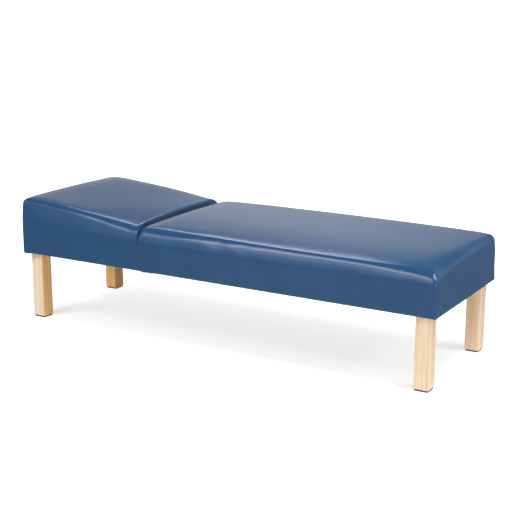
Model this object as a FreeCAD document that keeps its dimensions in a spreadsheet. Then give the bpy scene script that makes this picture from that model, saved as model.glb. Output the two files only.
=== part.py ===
"""Treatment couch: a vinyl top in two pads, on a timber frame with four square legs.

Millimetres, +Z up. The origin is on the floor under the middle of the couch.
The head end is at -X, the foot end at +X, the front at -Y and the rear at +Y.
"""
import FreeCAD, Part
import math
import os

import Sketcher

DIMENSIONS = (
    ("overall_length", 1829, "head end to foot end, over the vinyl"),
    ("overall_width", 610, "front to rear, over the vinyl"),
    ("seat_height", 459, "floor to the long edges of the flat pad's top"),
    ("head_length", 585, "head end to the crease between the pads"),
    ("head_rise", 51, "rise of the head pad from the crease to the head end"),
    ("foam_thickness", 73, "foam of the flat pad, drawn down by its cover"),
    ("top_crown", 5, "swell of the pads' tops at mid width"),
    ("edge_radius", 30, "rounding of the pads' top edges"),
    ("crease_radius", 16, "rounding of both pads into the crease"),
    ("corner_radius", 8, "rounding of the upright corners"),
    ("vinyl_thickness", 1.2, "coated cloth of the covers"),
    ("vinyl_clearance", 0.3, "between a cover and what it is drawn over"),
    ("hem_width", 16, "edge of the covers turned under the rails"),
    ("deck_thickness", 12.7, "plywood under the foam"),
    ("vent_diameter", 22, "breather holes in the decks"),
    ("rail_depth", 89, "height of the rails, braces and corner blocks"),
    ("side_rail_thickness", 25, "side rails"),
    ("end_rail_thickness", 19, "end rails"),
    ("brace_thickness", 38, "cross members under the decks"),
    ("leg_section", 60, "side of the square legs"),
    ("leg_edge_radius", 8, "rounded upright edges of the legs"),
    ("leg_foot_chamfer", 3.5, "eased foot of the legs"),
    ("leg_bolt_flat", 14, "flat across the inner edge of a leg, measured along each face"),
    ("block_gap", 2, "left between leg and corner block, to draw the leg up tight"),
    ("block_thickness", 38, "corner blocks"),
    ("bolt_diameter", 8, "leg bolts"),
    ("bolt_clearance", 0.5, "added to the bolt's diameter in blocks, washers and nuts"),
    ("bolt_hold", 36, "length of a bolt in its leg"),
    ("bolt_proud", 5, "end of a bolt past its nut"),
    ("bolt_spacing", 44, "between the two bolts of a leg"),
    ("washer_diameter", 20, "leg washers"),
    ("washer_thickness", 1.6, "leg washers"),
    ("nut_width", 13, "leg nuts across flats"),
    ("nut_height", 6.5, "leg nuts"),
    ("screw_diameter", 5, "wood screws of frame and decks"),
    ("screw_head_diameter", 9.5, "their countersunk heads"),
    ("screw_head_height", 3, "their countersunk heads"),
    ("screw_point", 6, "their tapered points"),
    ("frame_screw_length", 60, "rail to rail and rail to brace"),
    ("block_screw_length", 45, "rail to corner block"),
    ("deck_screw_length", 40, "deck to frame"),
    ("screw_spacing", 50, "between the two screws of a joint in the frame"),
    ("deck_screw_offset", 120, "from mid width to the deck screws on the cross members"),
    ("glide_side", 53, "side of the square rubber glides"),
    ("glide_corner_radius", 5, "rounded upright edges of the glides"),
    ("glide_height", 6, "rubber glides"),
    ("glide_edge", 1, "eased lower edge of the glides"),
    ("glide_recess_diameter", 12, "sinking for the glide screw's head"),
    ("glide_recess_depth", 3, "sinking for the glide screw's head"),
    ("glide_screw_diameter", 4, "glide screws"),
    ("glide_screw_clearance", 0.4, "added to that diameter in the glides"),
    ("glide_screw_head_diameter", 8, "glide screws"),
    ("glide_screw_head_height", 2.2, "glide screws"),
    ("glide_screw_length", 25, "glide screws, under the head"),
    ("dust_cover_thickness", 0.6, "cambric under the frame"),
    ("dust_cover_inset", 9, "from the side of the couch to the cambric's edge"),
    ("dust_cover_leg_clearance", 1, "between the cambric's cut-outs and the legs"),
    ("staple_crown", 10, "width of the staples"),
    ("staple_leg", 10, "depth of the staples"),
    ("staple_wire", 0.6, "thickness of the staples' wire"),
    ("staple_band", 1.2, "width of the staples' wire"),
    ("staple_spacing", 120, "greatest distance from staple to staple"),
    ("staple_margin", 40, "from the corner of the couch to the first staple"),
    ("cover_staple_inset", 5, "from the side of the couch to the covers' staples"),
    ("dust_staple_inset", 13, "from the side of the couch to the cambric's staples"),
)

HEAD, FOOT = -1, 1
HEAD_BAYS, MAIN_BAYS = 2, 3

# Places and sizes that follow from the driving dimensions, in the order that they build on each other.
LAYOUT = (
    ("skin", "dims.vinyl_thickness + dims.vinyl_clearance"),
    ("half_length", "dims.overall_length / 2"),
    ("half_width", "dims.overall_width / 2"),
    ("crease_x", "dims.head_length - layout.half_length"),
    ("deck_top", "dims.seat_height - layout.skin - dims.foam_thickness"),
    ("rail_top", "layout.deck_top - dims.deck_thickness"),
    ("rail_middle", "layout.rail_top - dims.rail_depth / 2"),
    ("rail_bottom", "layout.rail_top - dims.rail_depth"),
    ("underside", "layout.rail_bottom - layout.skin"),
    ("frame_length", "dims.overall_length - 2 * layout.skin"),
    ("frame_width", "dims.overall_width - 2 * layout.skin"),
    ("inner_x", "layout.frame_length / 2 - dims.end_rail_thickness"),
    ("inner_y", "layout.frame_width / 2 - dims.side_rail_thickness"),
    ("end_rail_x", "layout.frame_length / 2 - dims.end_rail_thickness / 2"),
    ("side_rail_y", "layout.frame_width / 2 - dims.side_rail_thickness / 2"),
    ("leg_x", "layout.inner_x - dims.leg_section / 2"),
    ("leg_y", "layout.inner_y - dims.leg_section / 2"),
    ("leg_length", "layout.rail_top - dims.glide_height"),
    ("head_bay", f"dims.head_length / {HEAD_BAYS}"),
    ("main_length", "dims.overall_length - dims.head_length"),
    ("main_bay", f"layout.main_length / {MAIN_BAYS}"),
    ("head_deck_length", "dims.head_length - 2 * layout.skin"),
    ("main_deck_length", "layout.main_length - 2 * layout.skin"),
    ("head_deck_x", "layout.crease_x - dims.head_length / 2"),
    ("main_deck_x", "layout.crease_x + layout.main_length / 2"),
    ("leg_flat_reach", "2 * dims.leg_section - dims.leg_bolt_flat"),
    ("block_near", "layout.leg_flat_reach + sqrt(2) * dims.block_gap"),
    ("block_far", "layout.block_near + sqrt(2) * dims.block_thickness"),
    ("block_screw_reach", "layout.block_near + (layout.block_far - layout.block_near) / 4"),
    ("bolt_start", "layout.leg_flat_reach / sqrt(2) - dims.bolt_hold"),
    ("washer_start", "layout.block_far / sqrt(2)"),
    ("nut_start", "layout.washer_start + dims.washer_thickness"),
    ("bolt_end", "layout.nut_start + dims.nut_height + dims.bolt_proud"),
    ("bolt_length", "layout.bolt_end - layout.bolt_start"),
    ("bolt_hole_diameter", "dims.bolt_diameter + dims.bolt_clearance"),
    ("glide_bore_diameter", "dims.glide_screw_diameter + dims.glide_screw_clearance"),
    ("dust_cover_bottom", "layout.underside - dims.dust_cover_thickness"),
)

# Each corner's name, the signs of its place in X and Y, and the turn that points its own +X and +Y inwards.
CORNERS = (
    ("front_head", -1, -1, 0),
    ("front_foot", 1, -1, 90),
    ("rear_foot", 1, 1, 180),
    ("rear_head", -1, 1, 270),
)
# Each brace's name and its place along the couch.
BRACES = (
    ("brace_head", "layout.crease_x - layout.head_bay"),
    ("brace_crease", "layout.crease_x"),
    ("brace_middle", "layout.crease_x + layout.main_bay"),
    ("brace_foot", "layout.crease_x + 2 * layout.main_bay"),
)

# Where in each bay the deck screws along the rails stand.
BAY_QUARTERS = (0.25, 0.75)
# Sections drawn on a rounded end, and how far from its tip the first one is, as a share of the radius.
ROUNDING_STEPS = 5
ROUNDING_START = 0.02
TOUCH = 1e-6
UP = FreeCAD.Vector(0, 0, 1)
DOWN = FreeCAD.Vector(0, 0, -1)

doc = FreeCAD.newDocument("treatment_couch")
sub_parts = []


def fill_sheet():
    """The spreadsheet of driving dimensions."""
    sheet = doc.addObject("Spreadsheet::Sheet", "dims")
    for row, (alias, value, meaning) in enumerate(DIMENSIONS, 1):
        sheet.set(f"A{row}", meaning)
        sheet.set(f"B{row}", str(value))
        sheet.setAlias(f"B{row}", alias)
    doc.recompute()
    return sheet


def fill_layout():
    """The set of places and sizes worked out from the spreadsheet."""
    places = doc.addObject("App::VarSet", "layout")
    for name, expression in LAYOUT:
        places.addProperty("App::PropertyFloat", name, "Layout")
        places.setExpression(name, expression)
    doc.recompute()
    return places


dims = fill_sheet()
layout = fill_layout()


def size(name):
    """The number that a driving dimension or a worked-out place has now."""
    return float(getattr(layout if name in layout.PropertiesList else dims, name))


def keep(sub_part):
    """Marks an object as a piece of the couch, to be written out under its label."""
    sub_parts.append(sub_part)
    return sub_part


def place(sub_part, x="0", y="0", z="0", turn=0):
    """Puts an object at a place given by expressions, turned about the upright axis."""
    sub_part.Placement = FreeCAD.Placement(FreeCAD.Vector(), FreeCAD.Rotation(UP, turn))
    for axis, expression in (("x", x), ("y", y), ("z", z)):
        sub_part.setExpression(f"Placement.Base.{axis}", expression)
    doc.recompute()
    return sub_part


def add_body(label):
    """An empty body."""
    body = doc.addObject("PartDesign::Body", label)
    body.Label = label
    return body


def add_sketch(body, role="XY_Plane", offset="0"):
    """A sketch on one of the body's own planes, moved along the plane's normal."""
    sketch = body.newObject("Sketcher::SketchObject", "outline")
    plane = next(feature for feature in body.Origin.OriginFeatures if feature.Role == role)
    sketch.AttachmentSupport = [(plane, "")]
    sketch.MapMode = "FlatFace"
    sketch.setExpression("AttachmentOffset.Base.z", offset)
    return sketch


def add_feature(body, kind, bound=None, **settings):
    """A feature of the body, with its settings and the sizes that are bound to expressions."""
    feature = body.newObject(f"PartDesign::{kind}", kind.lower())
    for name, value in settings.items():
        setattr(feature, name, value)
    for name, expression in (bound or {}).items():
        feature.setExpression(name, expression)
    doc.recompute()
    return feature


def bind_place(sketch, geometry, point, along_x, along_y):
    """Ties a point of the sketch to its distances from the sketch's origin."""
    for kind, axis, expression in (("DistanceX", -2, along_x), ("DistanceY", -1, along_y)):
        if expression == "0":
            sketch.addConstraint(Sketcher.Constraint("PointOnObject", geometry, point, axis))
        else:
            index = sketch.addConstraint(Sketcher.Constraint(kind, -1, 1, geometry, point, 1.0))
            sketch.setExpression(f"Constraints[{index}]", expression)


def draw_polygon(sketch, corners):
    """A closed outline of straight lines, through corners that are pairs of expressions."""
    first, count = sketch.GeometryCount, len(corners)
    rough = [FreeCAD.Vector(math.cos(turn), math.sin(turn), 0) + FreeCAD.Vector(2, 2, 0)
             for turn in (math.tau * number / count for number in range(count))]
    for number in range(count):
        sketch.addGeometry(Part.LineSegment(rough[number], rough[(number + 1) % count]))
    for number, (along_x, along_y) in enumerate(corners):
        following = first + (number + 1) % count
        sketch.addConstraint(Sketcher.Constraint("Coincident", first + number, 2, following, 1))
        bind_place(sketch, first + number, 1, along_x, along_y)


def draw_rectangle(sketch, length, width):
    """A rectangle centred on the sketch's origin."""
    across, along = f"({length}) / 2", f"({width}) / 2"
    draw_polygon(sketch, ((f"-{across}", f"-{along}"), (across, f"-{along}"),
                          (across, along), (f"-{across}", along)))


def draw_circle(sketch, diameter, along_x="0", along_y="0"):
    """A circle with its centre at a place given by expressions."""
    circle = sketch.addGeometry(Part.Circle(FreeCAD.Vector(2, 2, 0), UP, 1))
    index = sketch.addConstraint(Sketcher.Constraint("Diameter", circle, 2.0))
    sketch.setExpression(f"Constraints[{index}]", diameter)
    bind_place(sketch, circle, 3, along_x, along_y)


def add_board(label, length, width, thickness):
    """A body with one block, centred in plan, standing on its own ground plane."""
    body = add_body(label)
    sketch = add_sketch(body)
    draw_rectangle(sketch, length, width)
    add_feature(body, "Pad", {"Length": thickness}, Profile=sketch)
    return body


def add_turned(label, corners):
    """A body of revolution about its own upright axis, from the corners of half its section."""
    body = add_body(label)
    sketch = add_sketch(body, "XZ_Plane")
    draw_polygon(sketch, corners)
    add_feature(body, "Revolution", Profile=sketch, ReferenceAxis=(sketch, ["V_Axis"]), Angle=360)
    return body


def upright_edges(feature, wanted=lambda point: True):
    """Names of the feature's upright edges that stand at a wanted place."""
    names = []
    for number, edge in enumerate(feature.Shape.Edges, 1):
        start, end = edge.firstVertex().Point, edge.lastVertex().Point
        upright = math.hypot(start.x - end.x, start.y - end.y) < TOUCH < abs(start.z - end.z)
        if upright and wanted(start):
            names.append(f"Edge{number}")
    return names


def flat_face(feature, height):
    """Name of the feature's level face at a height."""
    for number, face in enumerate(feature.Shape.Faces, 1):
        if face.BoundBox.ZLength < TOUCH and abs(face.BoundBox.ZMin - height) < TOUCH:
            return f"Face{number}"
    raise ValueError(f"{feature.Label} has no level face at {height}")


def add_shape(label, shape):
    """An object that holds a shape made from the sheet's sizes."""
    sub_part = doc.addObject("Part::Feature", label)
    sub_part.Label = label
    sub_part.Shape = shape
    return sub_part


def add_group(label, pattern, placements):
    """Separate copies of one pattern, each at its own place."""
    copies = [pattern.Shape.Solids[0].transformed(at.Matrix, True) for at in placements]
    return add_shape(label, Part.makeCompound(copies))


def add_cut(label, base, groups):
    """The base with room made for each solid of the groups that reaches into it."""
    box = base.Shape.BoundBox
    reaching = [solid for group in groups for solid in group.Shape.Solids
                if box.intersect(solid.BoundBox)]
    cut = doc.addObject("Part::Cut", label)
    cut.Label = label
    cut.Base = base
    cut.Tool = add_shape(f"{label}_room", Part.makeCompound(reaching))
    doc.recompute()
    return cut


def aimed(start, direction):
    """The placement that puts a pattern's origin at start and its own +Z along direction."""
    return FreeCAD.Placement(start, FreeCAD.Rotation(UP, direction))


def in_corner(corner, local):
    """A placement in a corner's own frame, whose origin is where the rails' inner faces meet."""
    _, sign_x, sign_y, turn = corner
    origin = FreeCAD.Vector(sign_x * size("inner_x"), sign_y * size("inner_y"), 0)
    return FreeCAD.Placement(origin, FreeCAD.Rotation(UP, turn)).multiply(local)


def pair_heights(spacing):
    """The two heights, either side of the rails' middle, of a joint's fasteners."""
    return [size("rail_middle") + sign * size(spacing) / 2 for sign in (-1, 1)]


def brace_places():
    """Where the braces stand along the couch, from the head end to the foot end."""
    return [body.Placement.Base.x for body in braces.values()]


def add_screw(label, length):
    """A countersunk wood screw, from its head at the origin towards +Z."""
    shank = "dims.screw_diameter / 2"
    return add_turned(label, (
        ("0", "0"),
        ("dims.screw_head_diameter / 2", "0"),
        (shank, "dims.screw_head_height"),
        (shank, f"{length} - dims.screw_point"),
        ("0", length),
    ))


def frame_screw_places():
    """Screws through the side rails, into the end rails and the braces."""
    along = [-size("end_rail_x"), *brace_places(), size("end_rail_x")]
    return [aimed(FreeCAD.Vector(x, side * size("frame_width") / 2, z), FreeCAD.Vector(0, -side, 0))
            for side in (-1, 1) for x in along for z in pair_heights("screw_spacing")]


def block_screw_places():
    """Screws through the rails into the corner blocks, square to each rail."""
    reach = size("block_screw_reach")
    end, side = size("end_rail_thickness"), size("side_rail_thickness")
    places = []
    for corner in CORNERS:
        beyond_x, beyond_y = (end, side) if corner[3] % 180 == 0 else (side, end)
        for z in pair_heights("screw_spacing"):
            for start, direction in (((reach, -beyond_y, z), (0, 1, 0)), ((-beyond_x, reach, z), (1, 0, 0))):
                local = aimed(FreeCAD.Vector(*start), FreeCAD.Vector(*direction))
                places.append(in_corner(corner, local))
    return places


def deck_screw_places():
    """Screws through the decks: two to a bay along the rails, and two on each cross member."""
    head_bay, main_bay = size("head_bay"), size("main_bay")
    quarters = [-size("half_length") + head_bay * (bay + part)
                for bay in range(HEAD_BAYS) for part in BAY_QUARTERS]
    quarters += [size("crease_x") + main_bay * (bay + part)
                 for bay in range(MAIN_BAYS) for part in BAY_QUARTERS]
    spots = [(x, size("side_rail_y")) for x in quarters]

    head, crease, middle, foot = brace_places()
    beside = size("brace_thickness") / 4
    across = [-size("end_rail_x"), head, crease - beside, crease + beside, middle, foot, size("end_rail_x")]
    spots += [(x, size("deck_screw_offset")) for x in across]
    return [aimed(FreeCAD.Vector(x, side * y, size("deck_top")), DOWN) for side in (-1, 1) for x, y in spots]


def along_diagonal(reach):
    """The two places in every corner at a reach along its inward diagonal, where the leg bolts are."""
    step = reach / math.sqrt(2)
    inward = FreeCAD.Vector(1, 1, 0)
    return [in_corner(corner, aimed(FreeCAD.Vector(step, step, z), inward))
            for corner in CORNERS for z in pair_heights("bolt_spacing")]


def add_ring(label, outer, height):
    """A pattern cut through by the leg bolt's hole, as a washer or a nut is."""
    hole = doc.addObject("Part::Cylinder", f"{label}_hole")
    hole.setExpression("Radius", "layout.bolt_hole_diameter / 2")
    hole.setExpression("Height", height)
    ring = doc.addObject("Part::Cut", label)
    ring.Base = outer
    ring.Tool = hole
    doc.recompute()
    return ring


def add_leg_hardware():
    """The leg bolts with their washers and nuts, and the wider holes that the blocks have for them."""
    bolt = doc.addObject("Part::Cylinder", "bolt")
    bolt.setExpression("Radius", "dims.bolt_diameter / 2")
    bolt.setExpression("Height", "layout.bolt_length")
    room = doc.addObject("Part::Cylinder", "bolt_room")
    room.setExpression("Radius", "layout.bolt_hole_diameter / 2")
    room.setExpression("Height", "layout.bolt_length")
    disc = doc.addObject("Part::Cylinder", "disc")
    disc.setExpression("Radius", "dims.washer_diameter / 2")
    disc.setExpression("Height", "dims.washer_thickness")
    hexagon = doc.addObject("Part::Prism", "hexagon")
    hexagon.Polygon = 6
    hexagon.setExpression("Circumradius", "dims.nut_width / sqrt(3)")
    hexagon.setExpression("Height", "dims.nut_height")
    doc.recompute()

    bolts = keep(add_group("leg_bolts", bolt, along_diagonal(size("bolt_start"))))
    washer = add_ring("washer", disc, "dims.washer_thickness")
    keep(add_group("leg_washers", washer, along_diagonal(size("washer_start"))))
    nut = add_ring("nut", hexagon, "dims.nut_height")
    keep(add_group("leg_nuts", nut, along_diagonal(size("nut_start"))))
    return bolts, add_group("bolt_rooms", room, along_diagonal(size("bolt_start")))


def staple_run(length):
    """Even places along one side of the couch, clear of its corners."""
    reach = length / 2 - size("staple_margin")
    steps = max(1, math.ceil(2 * reach / size("staple_spacing")))
    return [reach * (2 * step / steps - 1) for step in range(steps + 1)]


def staple_places(inset, bottom):
    """Staples all round the underside, with their crowns along its edges and their legs up."""
    x_end, y_end = size("half_length") - inset, size("half_width") - inset
    places = []
    for side in (-1, 1):
        for x in staple_run(size("overall_length")):
            places.append(FreeCAD.Placement(FreeCAD.Vector(x, side * y_end, bottom), FreeCAD.Rotation()))
        for y in staple_run(size("overall_width")):
            turned = FreeCAD.Rotation(UP, 90)
            places.append(FreeCAD.Placement(FreeCAD.Vector(side * x_end, y, bottom), turned))
    return places


def add_staple():
    """One staple, crown down, centred on its crown."""
    outside, inside = "dims.staple_crown / 2", "(dims.staple_crown / 2 - dims.staple_wire)"
    body = add_body("staple")
    sketch = add_sketch(body, "XZ_Plane")
    draw_polygon(sketch, (
        (f"-{outside}", "0"), (outside, "0"),
        (outside, "dims.staple_leg"), (inside, "dims.staple_leg"),
        (inside, "dims.staple_wire"), (f"-{inside}", "dims.staple_wire"),
        (f"-{inside}", "dims.staple_leg"), (f"-{outside}", "dims.staple_leg"),
    ))
    add_feature(body, "Pad", {"Length": "dims.staple_band"}, Profile=sketch, SideType="Symmetric")
    return body


def add_rails():
    """The side rails, rounded at the couch's corners, and the end rails between them."""
    rails = {}
    for name, sign, turn in (("side_rail_front", "-", 0), ("side_rail_rear", "", 180)):
        thickness = "dims.side_rail_thickness"
        board = add_board(f"{name}_board", "layout.frame_length", thickness, "dims.rail_depth")
        outer = upright_edges(board.Tip, lambda point: point.y < 0)
        add_feature(board, "Fillet", {"Radius": "dims.corner_radius"}, Base=(board.Tip, outer))
        rails[name] = place(board, y=f"{sign}layout.side_rail_y", z="layout.rail_bottom", turn=turn)
    for name, sign in (("end_rail_head", "-"), ("end_rail_foot", "")):
        board = add_board(f"{name}_board", "dims.end_rail_thickness", "2 * layout.inner_y", "dims.rail_depth")
        rails[name] = place(board, x=f"{sign}layout.end_rail_x", z="layout.rail_bottom")
    return rails


def add_braces():
    """The cross members between the side rails."""
    boards = {}
    for name, along in BRACES:
        board = add_board(f"{name}_board", "dims.brace_thickness", "2 * layout.inner_y", "dims.rail_depth")
        boards[name] = place(board, x=along, z="layout.rail_bottom")
    return boards


def stand_in_corner(body, corner, z):
    """Puts a body that was drawn in a corner's own frame into that corner."""
    _, sign_x, sign_y, turn = corner
    return place(body, f"{sign_x} * layout.inner_x", f"{sign_y} * layout.inner_y", z, turn)


def add_corner_block(corner):
    """A mitred block across a corner, behind its leg."""
    body = add_body(f"corner_block_{corner[0]}_board")
    sketch = add_sketch(body)
    draw_polygon(sketch, (("layout.block_near", "0"), ("layout.block_far", "0"),
                          ("0", "layout.block_far"), ("0", "layout.block_near")))
    add_feature(body, "Pad", {"Length": "dims.rail_depth"}, Profile=sketch)
    return stand_in_corner(body, corner, "layout.rail_bottom")


def add_leg(corner):
    """A square leg with rounded edges and an eased foot, and a flat for its bolts on the inner edge."""
    body = add_body(f"leg_{corner[0]}_timber")
    sketch = add_sketch(body)
    side = "dims.leg_section"
    draw_polygon(sketch, (("0", "0"), (side, "0"), (side, side), ("0", side)))
    post = add_feature(body, "Pad", {"Length": "layout.leg_length"}, Profile=sketch)
    eased = add_feature(body, "Fillet", {"Radius": "dims.leg_edge_radius"}, Base=(post, upright_edges(post)))
    foot = flat_face(eased, 0)
    add_feature(body, "Chamfer", {"Size": "dims.leg_foot_chamfer"}, Base=(eased, [foot]))

    notch = add_sketch(body, offset="layout.leg_length - dims.rail_depth")
    cut_back = f"{side} - dims.leg_bolt_flat"
    draw_polygon(notch, ((side, cut_back), (side, side), (cut_back, side)))
    add_feature(body, "Pocket", {"Length": "dims.rail_depth"}, Profile=notch, Reversed=True)
    return stand_in_corner(body, corner, "dims.glide_height")


def add_glide(corner):
    """A square rubber glide, as large as the eased foot of its leg and sunk for the head of its screw."""
    name, sign_x, sign_y, _ = corner
    glide = add_board(f"glide_{name}", "dims.glide_side", "dims.glide_side", "dims.glide_height")
    corners = upright_edges(glide.Tip)
    rounded = add_feature(glide, "Fillet", {"Radius": "dims.glide_corner_radius"}, Base=(glide.Tip, corners))
    sole = flat_face(rounded, 0)
    add_feature(glide, "Chamfer", {"Size": "dims.glide_edge"}, Base=(rounded, [sole]))
    for diameter, depth in (("dims.glide_recess_diameter", "dims.glide_recess_depth"),
                            ("layout.glide_bore_diameter", "dims.glide_height")):
        sketch = add_sketch(glide)
        draw_circle(sketch, diameter)
        add_feature(glide, "Pocket", {"Length": depth}, Profile=sketch, Reversed=True)
    return keep(place(glide, f"{sign_x} * layout.leg_x", f"{sign_y} * layout.leg_y"))


def add_glide_screws():
    """One screw up through each glide into its leg."""
    shank, under_head = "dims.glide_screw_diameter / 2", "dims.glide_screw_head_height"
    length = f"{under_head} + dims.glide_screw_length"
    screw = add_turned("glide_screw", (
        ("0", "0"),
        ("dims.glide_screw_head_diameter / 2", "0"),
        ("dims.glide_screw_head_diameter / 2", under_head),
        (shank, under_head),
        (shank, f"{length} - dims.screw_point"),
        ("0", length),
    ))
    z = size("glide_recess_depth") - size("glide_screw_head_height")
    places = [aimed(FreeCAD.Vector(sign_x * size("leg_x"), sign_y * size("leg_y"), z), UP)
              for _, sign_x, sign_y, _ in CORNERS]
    return keep(add_group("glide_screws", screw, places))


def add_deck(name, end, bays, bay):
    """A deck board, rounded at the couch's corners, with a breather hole in the middle of each bay."""
    board = add_board(f"{name}_board", f"layout.{name}_length", "layout.frame_width", "dims.deck_thickness")
    outer = upright_edges(board.Tip, lambda point: point.x * end > 0)
    add_feature(board, "Fillet", {"Radius": "dims.corner_radius"}, Base=(board.Tip, outer))

    sketch = add_sketch(board)
    draw_circle(sketch, "dims.vent_diameter", along_x=f"-layout.{bay} * {(bays - 1) / 2}")
    vent = add_feature(board, "Pocket", Profile=sketch, Type="ThroughAll", Reversed=True)
    vents = add_feature(board, "LinearPattern", {"Length": f"layout.{bay} * {bays - 1}"},
                        Originals=[vent], Direction=(sketch, ["H_Axis"]), Occurrences=bays)
    board.Tip = vents
    doc.recompute()
    return place(board, x=f"layout.{name}_x", z="layout.rail_top")


def add_dust_cover():
    """The cambric under the frame, with a square cut-out for each leg."""
    body = add_body("dust_cover_sheet")
    sketch = add_sketch(body)
    draw_rectangle(sketch, "dims.overall_length - 2 * dims.dust_cover_inset",
                   "dims.overall_width - 2 * dims.dust_cover_inset")
    near, far = "- dims.leg_section - dims.dust_cover_leg_clearance", "+ dims.dust_cover_leg_clearance"
    for _, sign_x, sign_y, _ in CORNERS:
        near_x, far_x = (f"{sign_x} * (layout.inner_x {edge})" for edge in (near, far))
        near_y, far_y = (f"{sign_y} * (layout.inner_y {edge})" for edge in (near, far))
        draw_polygon(sketch, ((near_x, near_y), (far_x, near_y), (far_x, far_y), (near_x, far_y)))
    add_feature(body, "Pad", {"Length": "dims.dust_cover_thickness"}, Profile=sketch)
    return place(body, z="layout.dust_cover_bottom")


def rounding_stations(radius):
    """Distances from a rounded end at which the pad's section is drawn, nearest first."""
    turns = [math.pi / 2 * step / ROUNDING_STEPS for step in range(ROUNDING_STEPS)]
    return [ROUNDING_START * radius] + [radius * (1 - math.sin(turn)) for turn in reversed(turns)]


def rounding_drop(radius, distance):
    """How far a rounded end has fallen away at a distance from its tip."""
    return radius - math.sqrt(radius ** 2 - max(0.0, radius - distance) ** 2)


class PadSection:
    """One section across a pad: its skirt, its leaning side, its rounded edge and its crowned top."""

    def __init__(self, x, top, half_width, edge_radius):
        self.x = x
        self.spring = top - edge_radius
        self.half_width = half_width
        self.edge_radius = edge_radius
        self.rise = edge_radius
        self.skirt_inset = 0.0
        self.side_inset = 0.0

    def round_off(self, corner_radius, distance):
        """Falls away to an outer end of the couch, with a tighter round on the upright corners."""
        self.rise -= rounding_drop(self.edge_radius, distance)
        self.skirt_inset = self.side_inset = rounding_drop(corner_radius, distance)
        return self

    def draw_in(self, crease_radius, distance):
        """Falls away into the crease, on the top and the sides but not on the skirt."""
        self.side_inset = rounding_drop(crease_radius, distance)
        self.rise -= self.side_inset
        self.edge_radius -= self.side_inset
        return self

    def points(self, half):
        """The points of one half of the section and, in reverse, of the other half."""
        return ([FreeCAD.Vector(self.x, y, z) for y, z in half],
                [FreeCAD.Vector(self.x, -y, z) for y, z in reversed(half)])

    def wire(self, floor, knee):
        """The closed outline from the floor up, with the side upright below the knee."""
        skirt = self.half_width - self.skirt_inset
        side = self.half_width - self.side_inset
        centre = side - self.edge_radius
        turn = math.asin(min(1.0, self.rise / self.edge_radius))
        rounded = [(centre + self.edge_radius * math.cos(angle),
                    self.spring + self.edge_radius * math.sin(angle)) for angle in (turn / 2, turn)]
        upright = [(skirt, floor)] if knee > floor else []

        right, left = self.points(upright + [(skirt, knee), (side, self.spring)])
        right_round, left_round = self.points(rounded)
        crown = FreeCAD.Vector(self.x, 0, self.spring + self.rise + size("top_crown"))
        edges = [Part.LineSegment(left[-1], right[0])]
        edges += [Part.LineSegment(start, end) for start, end in zip(right, right[1:])]
        edges.append(Part.Arc(right[-1], *right_round))
        edges.append(Part.Arc(right_round[-1], crown, left_round[0]))
        edges.append(Part.Arc(*left_round, left[0]))
        edges += [Part.LineSegment(start, end) for start, end in zip(left, left[1:])]
        return Part.Wire([edge.toShape() for edge in edges])


def pad_solid(end, inset, floor, knee):
    """A pad from the crease to the head or foot end, everywhere inset by a thickness."""
    tip_x = end * (size("half_length") - inset)
    crease_x = size("crease_x") + end * inset
    edge, corner, crease = (size(name) - inset for name in ("edge_radius", "corner_radius", "crease_radius"))
    half_width = size("half_width") - inset
    slope = size("head_rise") / size("head_length") if end == HEAD else 0.0

    def section(x):
        top = size("seat_height") - inset + slope * (size("crease_x") - x)
        return PadSection(x, top, half_width, edge)

    near_crease, near_tip = rounding_stations(crease), rounding_stations(edge)
    sections = [section(crease_x + end * (reach - near_crease[0])).draw_in(crease, reach)
                for reach in near_crease]
    sections += [section(tip_x - end * (reach - near_tip[0])).round_off(corner, reach)
                 for reach in reversed(near_tip)]
    return Part.makeLoft([part.wire(floor, knee) for part in sections], True, True)


def box_between(low, high):
    """A block between two opposite corners."""
    low, high = FreeCAD.Vector(*low), FreeCAD.Vector(*high)
    span = high - low
    return Part.makeBox(span.x, span.y, span.z, low)


def add_cover(label, end):
    """A vinyl cover: top, skirt, the wall that goes down into the crease, and the hem under the rails."""
    vinyl, underside, knee = size("vinyl_thickness"), size("underside"), size("deck_top")
    outside = pad_solid(end, 0.0, underside, knee)
    inside = pad_solid(end, vinyl, underside + vinyl, knee)

    crease_x, hem = size("crease_x"), size("hem_width")
    tip_x = end * (size("half_length") - hem)
    past_crease = crease_x - end * vinyl
    inner_y, hem_y = size("half_width") - vinyl, size("half_width") - hem
    under = box_between((min(tip_x, past_crease), -hem_y, underside - vinyl),
                        (max(tip_x, past_crease), hem_y, underside + 2 * vinyl))
    under_deck = box_between((crease_x - 2 * vinyl, -inner_y, underside + vinyl),
                             (crease_x + 2 * vinyl, inner_y, size("rail_top")))
    return add_shape(f"{label}_vinyl", outside.cut([inside, under, under_deck]))


def add_foam(label, end):
    """The foam that fills a cover, from the deck up."""
    deck_top = size("deck_top")
    return keep(add_shape(label, pad_solid(end, size("skin"), deck_top, deck_top)))


def check_and_write():
    """Stops on any failed object or shape, then writes every piece to its own file."""
    doc.recompute()
    for item in doc.Objects:
        if "Invalid" in item.State or "Error" in item.State:
            raise RuntimeError(f"{item.Label} failed: {item.State}")
    for piece in sub_parts:
        if piece.Shape.isNull() or not piece.Shape.isValid() or not piece.Shape.Solids:
            raise RuntimeError(f"{piece.Label} has no valid solid")
    os.makedirs("parts", exist_ok=True)
    for piece in sub_parts:
        piece.Shape.exportStep(f"parts/{piece.Label}.step")
        solids = piece.Shape.Solids
        volume = sum(solid.Volume for solid in solids) / 1000
        print(f"{piece.Label}: {len(solids)} solids, {volume:.1f} cm3")


rails = add_rails()
braces = add_braces()

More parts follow.
